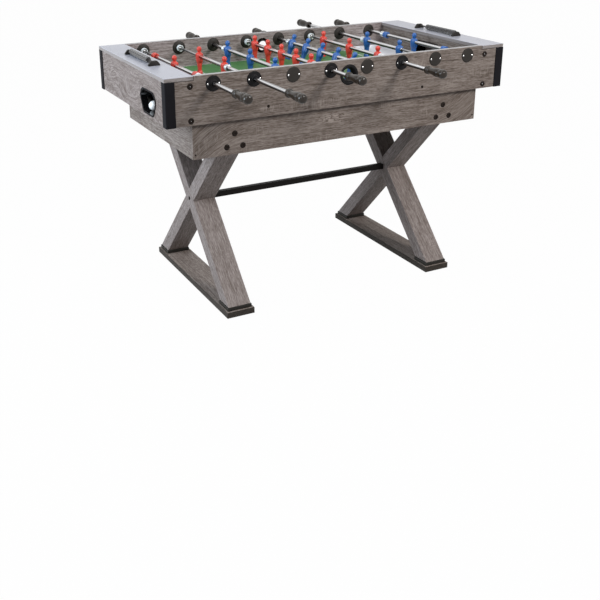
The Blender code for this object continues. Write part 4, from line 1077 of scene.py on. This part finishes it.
def stop_profile(centre):
    """A two-part clamp ring with a groove round its middle."""
    half = [(STOP_HALF, 0.0073), (STOP_HALF, 0.0116), (0.01, 0.0128), (0.0016, 0.0128), (0.0009, 0.0116)]
    profile = [(-along, radius) for along, radius in half] + half[::-1]
    return soft_corners([(centre + along, radius) for along, radius in profile], 0.0006, 3)


def ribbed_profile(start, end, core, radius):
    """A collar of rounded ribs between two places."""
    ribs = max(2, round(abs(end - start) / 0.0052))
    step = (end - start) / ribs
    profile = [(start, core)]
    for rib in range(ribs):
        for share, deep in ((0.06, 0.0011), (0.2, 0.0002), (0.5, 0), (0.8, 0.0002), (0.94, 0.0011)):
            profile.append((start + (rib + share) * step, radius - deep))
    profile.append((end, core))
    return profile


def places_on(node, side):
    """A node's nearest and farthest place along the rods, measured towards a side."""
    low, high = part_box(node)
    return sorted((side * low[1], side * high[1]))


def dress_rod(rod):
    """A rod's tube, men and bumper, its shaft with the stop collar, and its handle."""
    side = handle_side(rod)
    sliding = f"rod_{rod}_outer"
    turning = f"rod_{rod}_inner"
    tube_node = f"rod_{rod}_tube_and_men"
    shaft_node = f"rod_{rod}_shaft"
    centre = (rod_x(rod), 0, ROD_HEIGHT)

    def round_piece(name, profile, towards, sides, *look, smooth=35):
        new_piece(f"rod_{rod}_{name}", turned(profile, towards, centre, sides), *look, smooth=smooth)

    inner, outer = places_on(tube_node, side)
    count = ROD_MEN[rod - 1]
    spacing = MEN_SPACING[count]
    spread = spacing * (1 if count == 1 else (count - 1) / 2)
    end_half = STOP_HALF if count == 1 else MAN_HALF_WIDTH
    middle = inner + 0.003 + end_half + spread
    tube = [(inner, TUBE_BORE), (inner, TUBE_RADIUS), (outer, TUBE_RADIUS), (outer, TUBE_BORE)]
    round_piece("tube", soft_corners(tube, 0.0005, 2), side, 40, TUBE_CHROME, sliding, "chrome", [tube_node])
    finish, slot = (RED_MAN, "red_player") if side < 0 else (BLUE_MAN, "blue_player")
    men = bmesh.new()
    for k in range(count):
        add_man(men, side * (middle + (k - (count - 1) / 2) * spacing))
    if rod == LEANING_ROD:
        bmesh.ops.rotate(men, verts=men.verts, matrix=Matrix.Rotation(LEAN, 3, "Y"))
    bmesh.ops.translate(men, verts=men.verts, vec=centre)
    if count == 1:
        for place in (middle - spacing, middle + spacing):
            add_turned(men, stop_profile(place), side, centre, "Y", 40)
    team = new_piece(f"rod_{rod}_men", men, finish, sliding, slot, [tube_node], smooth=50)
    start = inner + 0.001
    bore = turned([(start, 0), (start, MEN_BORE), (outer, MEN_BORE), (outer, 0)], side, centre, 24)
    bmesh.ops.recalc_face_normals(bore, faces=bore.faces)
    cut_away(team, bore, joined=True)
    # The bumper reaches from the last man to the handled wall at the end of the slide
    travel = COLLAR_FACE - PLAY - (spread + end_half + 0.003)
    start = middle + spread + end_half + 0.0006
    bumper = ribbed_profile(start, middle + BEARING_FACE - PLAY - travel, 0.0073, BUMPER_RADIUS)
    round_piece("bumper", bumper, side, 40, BUMPER, sliding, "chrome", [tube_node], smooth=60)
    near, far = places_on(shaft_node, -side)
    shaft = [(near, 0), (near, SHAFT_RADIUS), (far, SHAFT_RADIUS), (far, 0)]
    round_piece("inner_shaft", soft_corners(shaft, 0.0008, 2, False), -side, 32, SHAFT_STEEL, turning,
                "chrome", [shaft_node])
    # The stop collar is a white sleeve with a recessed end, with a dark ring and a steel nut in it
    sleeve = mm((16, 4.7), (16, 11.7), (12.7, 12.5), (2.3, 12.5), (0, 11.6), (0, 9.8), (4.3, 9), (4.3, 4.7),
                start=COLLAR_FACE)
    round_piece("stop_collar", soft_corners(sleeve, 0.0008, 3), -side, 40, SLEEVE_WHITE, turning,
                "white_ball", [shaft_node])
    ring = mm((4.3, 6.9), (4.3, 8.9), (3.1, 8.9), (3.1, 6.9), start=COLLAR_FACE)
    round_piece("collar_ring", ring, -side, 32, MOULDED, turning, "black_plastic")
    nut = mm((4.3, 4.7), (4.3, 6.8), (0.9, 6.8), (0.3, 6), (0.3, 4.7), start=COLLAR_FACE)
    round_piece("collar_nut", nut, -side, 24, SCREW_STEEL, turning, "chrome")
    # The handle has a blind bore, a ring, a neck, a swell and a bulb
    grip = places_on(f"rod_{rod}_handle", side)[0]
    handle = mm((55, 0), (55, 7.7), (0, 7.7), (0, 9.8), (1, 12.8), (2.6, 14.1), (5, 14.4), (12, 14.4),
                (14, 13.6), (15.8, 11.6), (19, 10.6), (25, 10.6), (34, 11.6), (45, 13.2), (56, 14.7),
                (64, 15.2), (69, 14.9), (72.5, 14), (74.8, 13.7), (77.2, 14.2), (81, 15.2), (87, 16),
                (93, 15.3), (97.5, 13.4), (100.5, 10.4), (102.2, 6), (103, 0), start=grip)
    round_piece("grip", soft_corners(handle, 0.001, 2, False), side, 48, GRIP, sliding, "dark_grip",
                [f"rod_{rod}_handle"], smooth=60)


# Floor, light and camera


def show_white(holder, plain, kind, strength, output):
    """Show white in place of a plain shader where the camera, a reflection or glass looks."""
    rays = add(holder, "LightPath").socket.node.outputs
    camera, glossy, clear = (Pattern(holder, rays[f"Is {kind_of_ray} Ray"])
                             for kind_of_ray in ("Camera", "Glossy", "Transmission"))
    share = camera.maths("MAXIMUM", glossy).maths("MAXIMUM", clear) * strength
    nodes = holder.node_tree.nodes
    shader = Pattern(holder, nodes[plain].outputs[0])
    mix = add(holder, "MixShader", {0: share, 1: shader, 2: add(holder, kind, {"Color": WHITE})})
    holder.node_tree.links.new(mix.socket, nodes[output].inputs[0])


def set_stage():
    world = bpy.data.worlds.new("studio")
    bpy.context.scene.world = world
    world.use_nodes = True
    ambient = world.node_tree.nodes["Background"]
    ambient.inputs["Color"].default_value = (0.96, 0.98, 1.0, 1)
    ambient.inputs["Strength"].default_value = 0.11
    show_white(world, "Background", "Background", 1.0, "World Output")
    finish = finish_of("pale studio floor", roughness=0.9, Base_Color=(0.38, 0.38, 0.38, 1))
    show_white(finish, "Principled BSDF", "Emission", 0.985, "Material Output")
    ground = bmesh.new()
    bmesh.ops.create_grid(ground, x_segments=1, y_segments=1, size=30)
    floor = object_of("floor", ground)
    floor.data.materials.append(finish)
    floor.location.z = -0.0005


def add_lamp(name, place, size, power, colour=(1, 1, 1)):
    """A square lamp, aimed at the middle of the table."""
    lamp = bpy.data.lights.new(name, "AREA")
    lamp.shape = "SQUARE"
    lamp.size = size
    lamp.energy = power
    lamp.color = colour
    holder = linked(name, lamp)
    holder.location = place
    holder.rotation_euler = (Vector((0, 0, 0.6)) - Vector(place)).to_track_quat("-Z", "Y").to_euler()


def set_lights():
    add_lamp("front softbox", (1.4, -3.1, 2.8), 1.0, 112, (1.0, 0.98, 0.96))
    add_lamp("key from above left", (-2.4, -1.6, 3.2), 2.2, 58, (0.88, 0.94, 1.0))
    add_lamp("cool side light", (-3.4, 0.4, 1.5), 1.8, 112, (0.78, 0.89, 1.0))
    add_lamp("overhead", (0.2, 0.3, 3.6), 2.4, 30)


def set_camera():
    turn = Matrix.Rotation(-CAMERA_YAW, 4, "Z") @ Matrix.Rotation(math.pi / 2 + CAMERA_PITCH, 4, "X")
    turn = turn @ Matrix.Rotation(CAMERA_ROLL, 4, "Z")
    lens = bpy.data.cameras.new("camera")
    lens.sensor_width = SENSOR_WIDTH
    lens.lens = FOCAL_PIXELS * SENSOR_WIDTH / PICTURE_PIXELS
    lens.shift_x = (PICTURE_PIXELS / 2 - AXIS_PIXEL[0]) / PICTURE_PIXELS
    lens.shift_y = (AXIS_PIXEL[1] - PICTURE_PIXELS / 2) / PICTURE_PIXELS
    lens.clip_start = 0.05
    holder = linked("camera", lens)
    holder.matrix_world = Matrix.Translation(CAMERA_PLACE) @ turn
    bpy.context.scene.camera = holder
    bpy.context.scene.view_settings.view_transform = "Standard"


dress_base()
dress_long_walls()
dress_serve_cups()
dress_ends()
dress_playfield()
dress_ball()
for number in RODS:
    dress_rod(number)
set_stage()
set_lights()
set_camera()

bpy.context.view_layer.update()
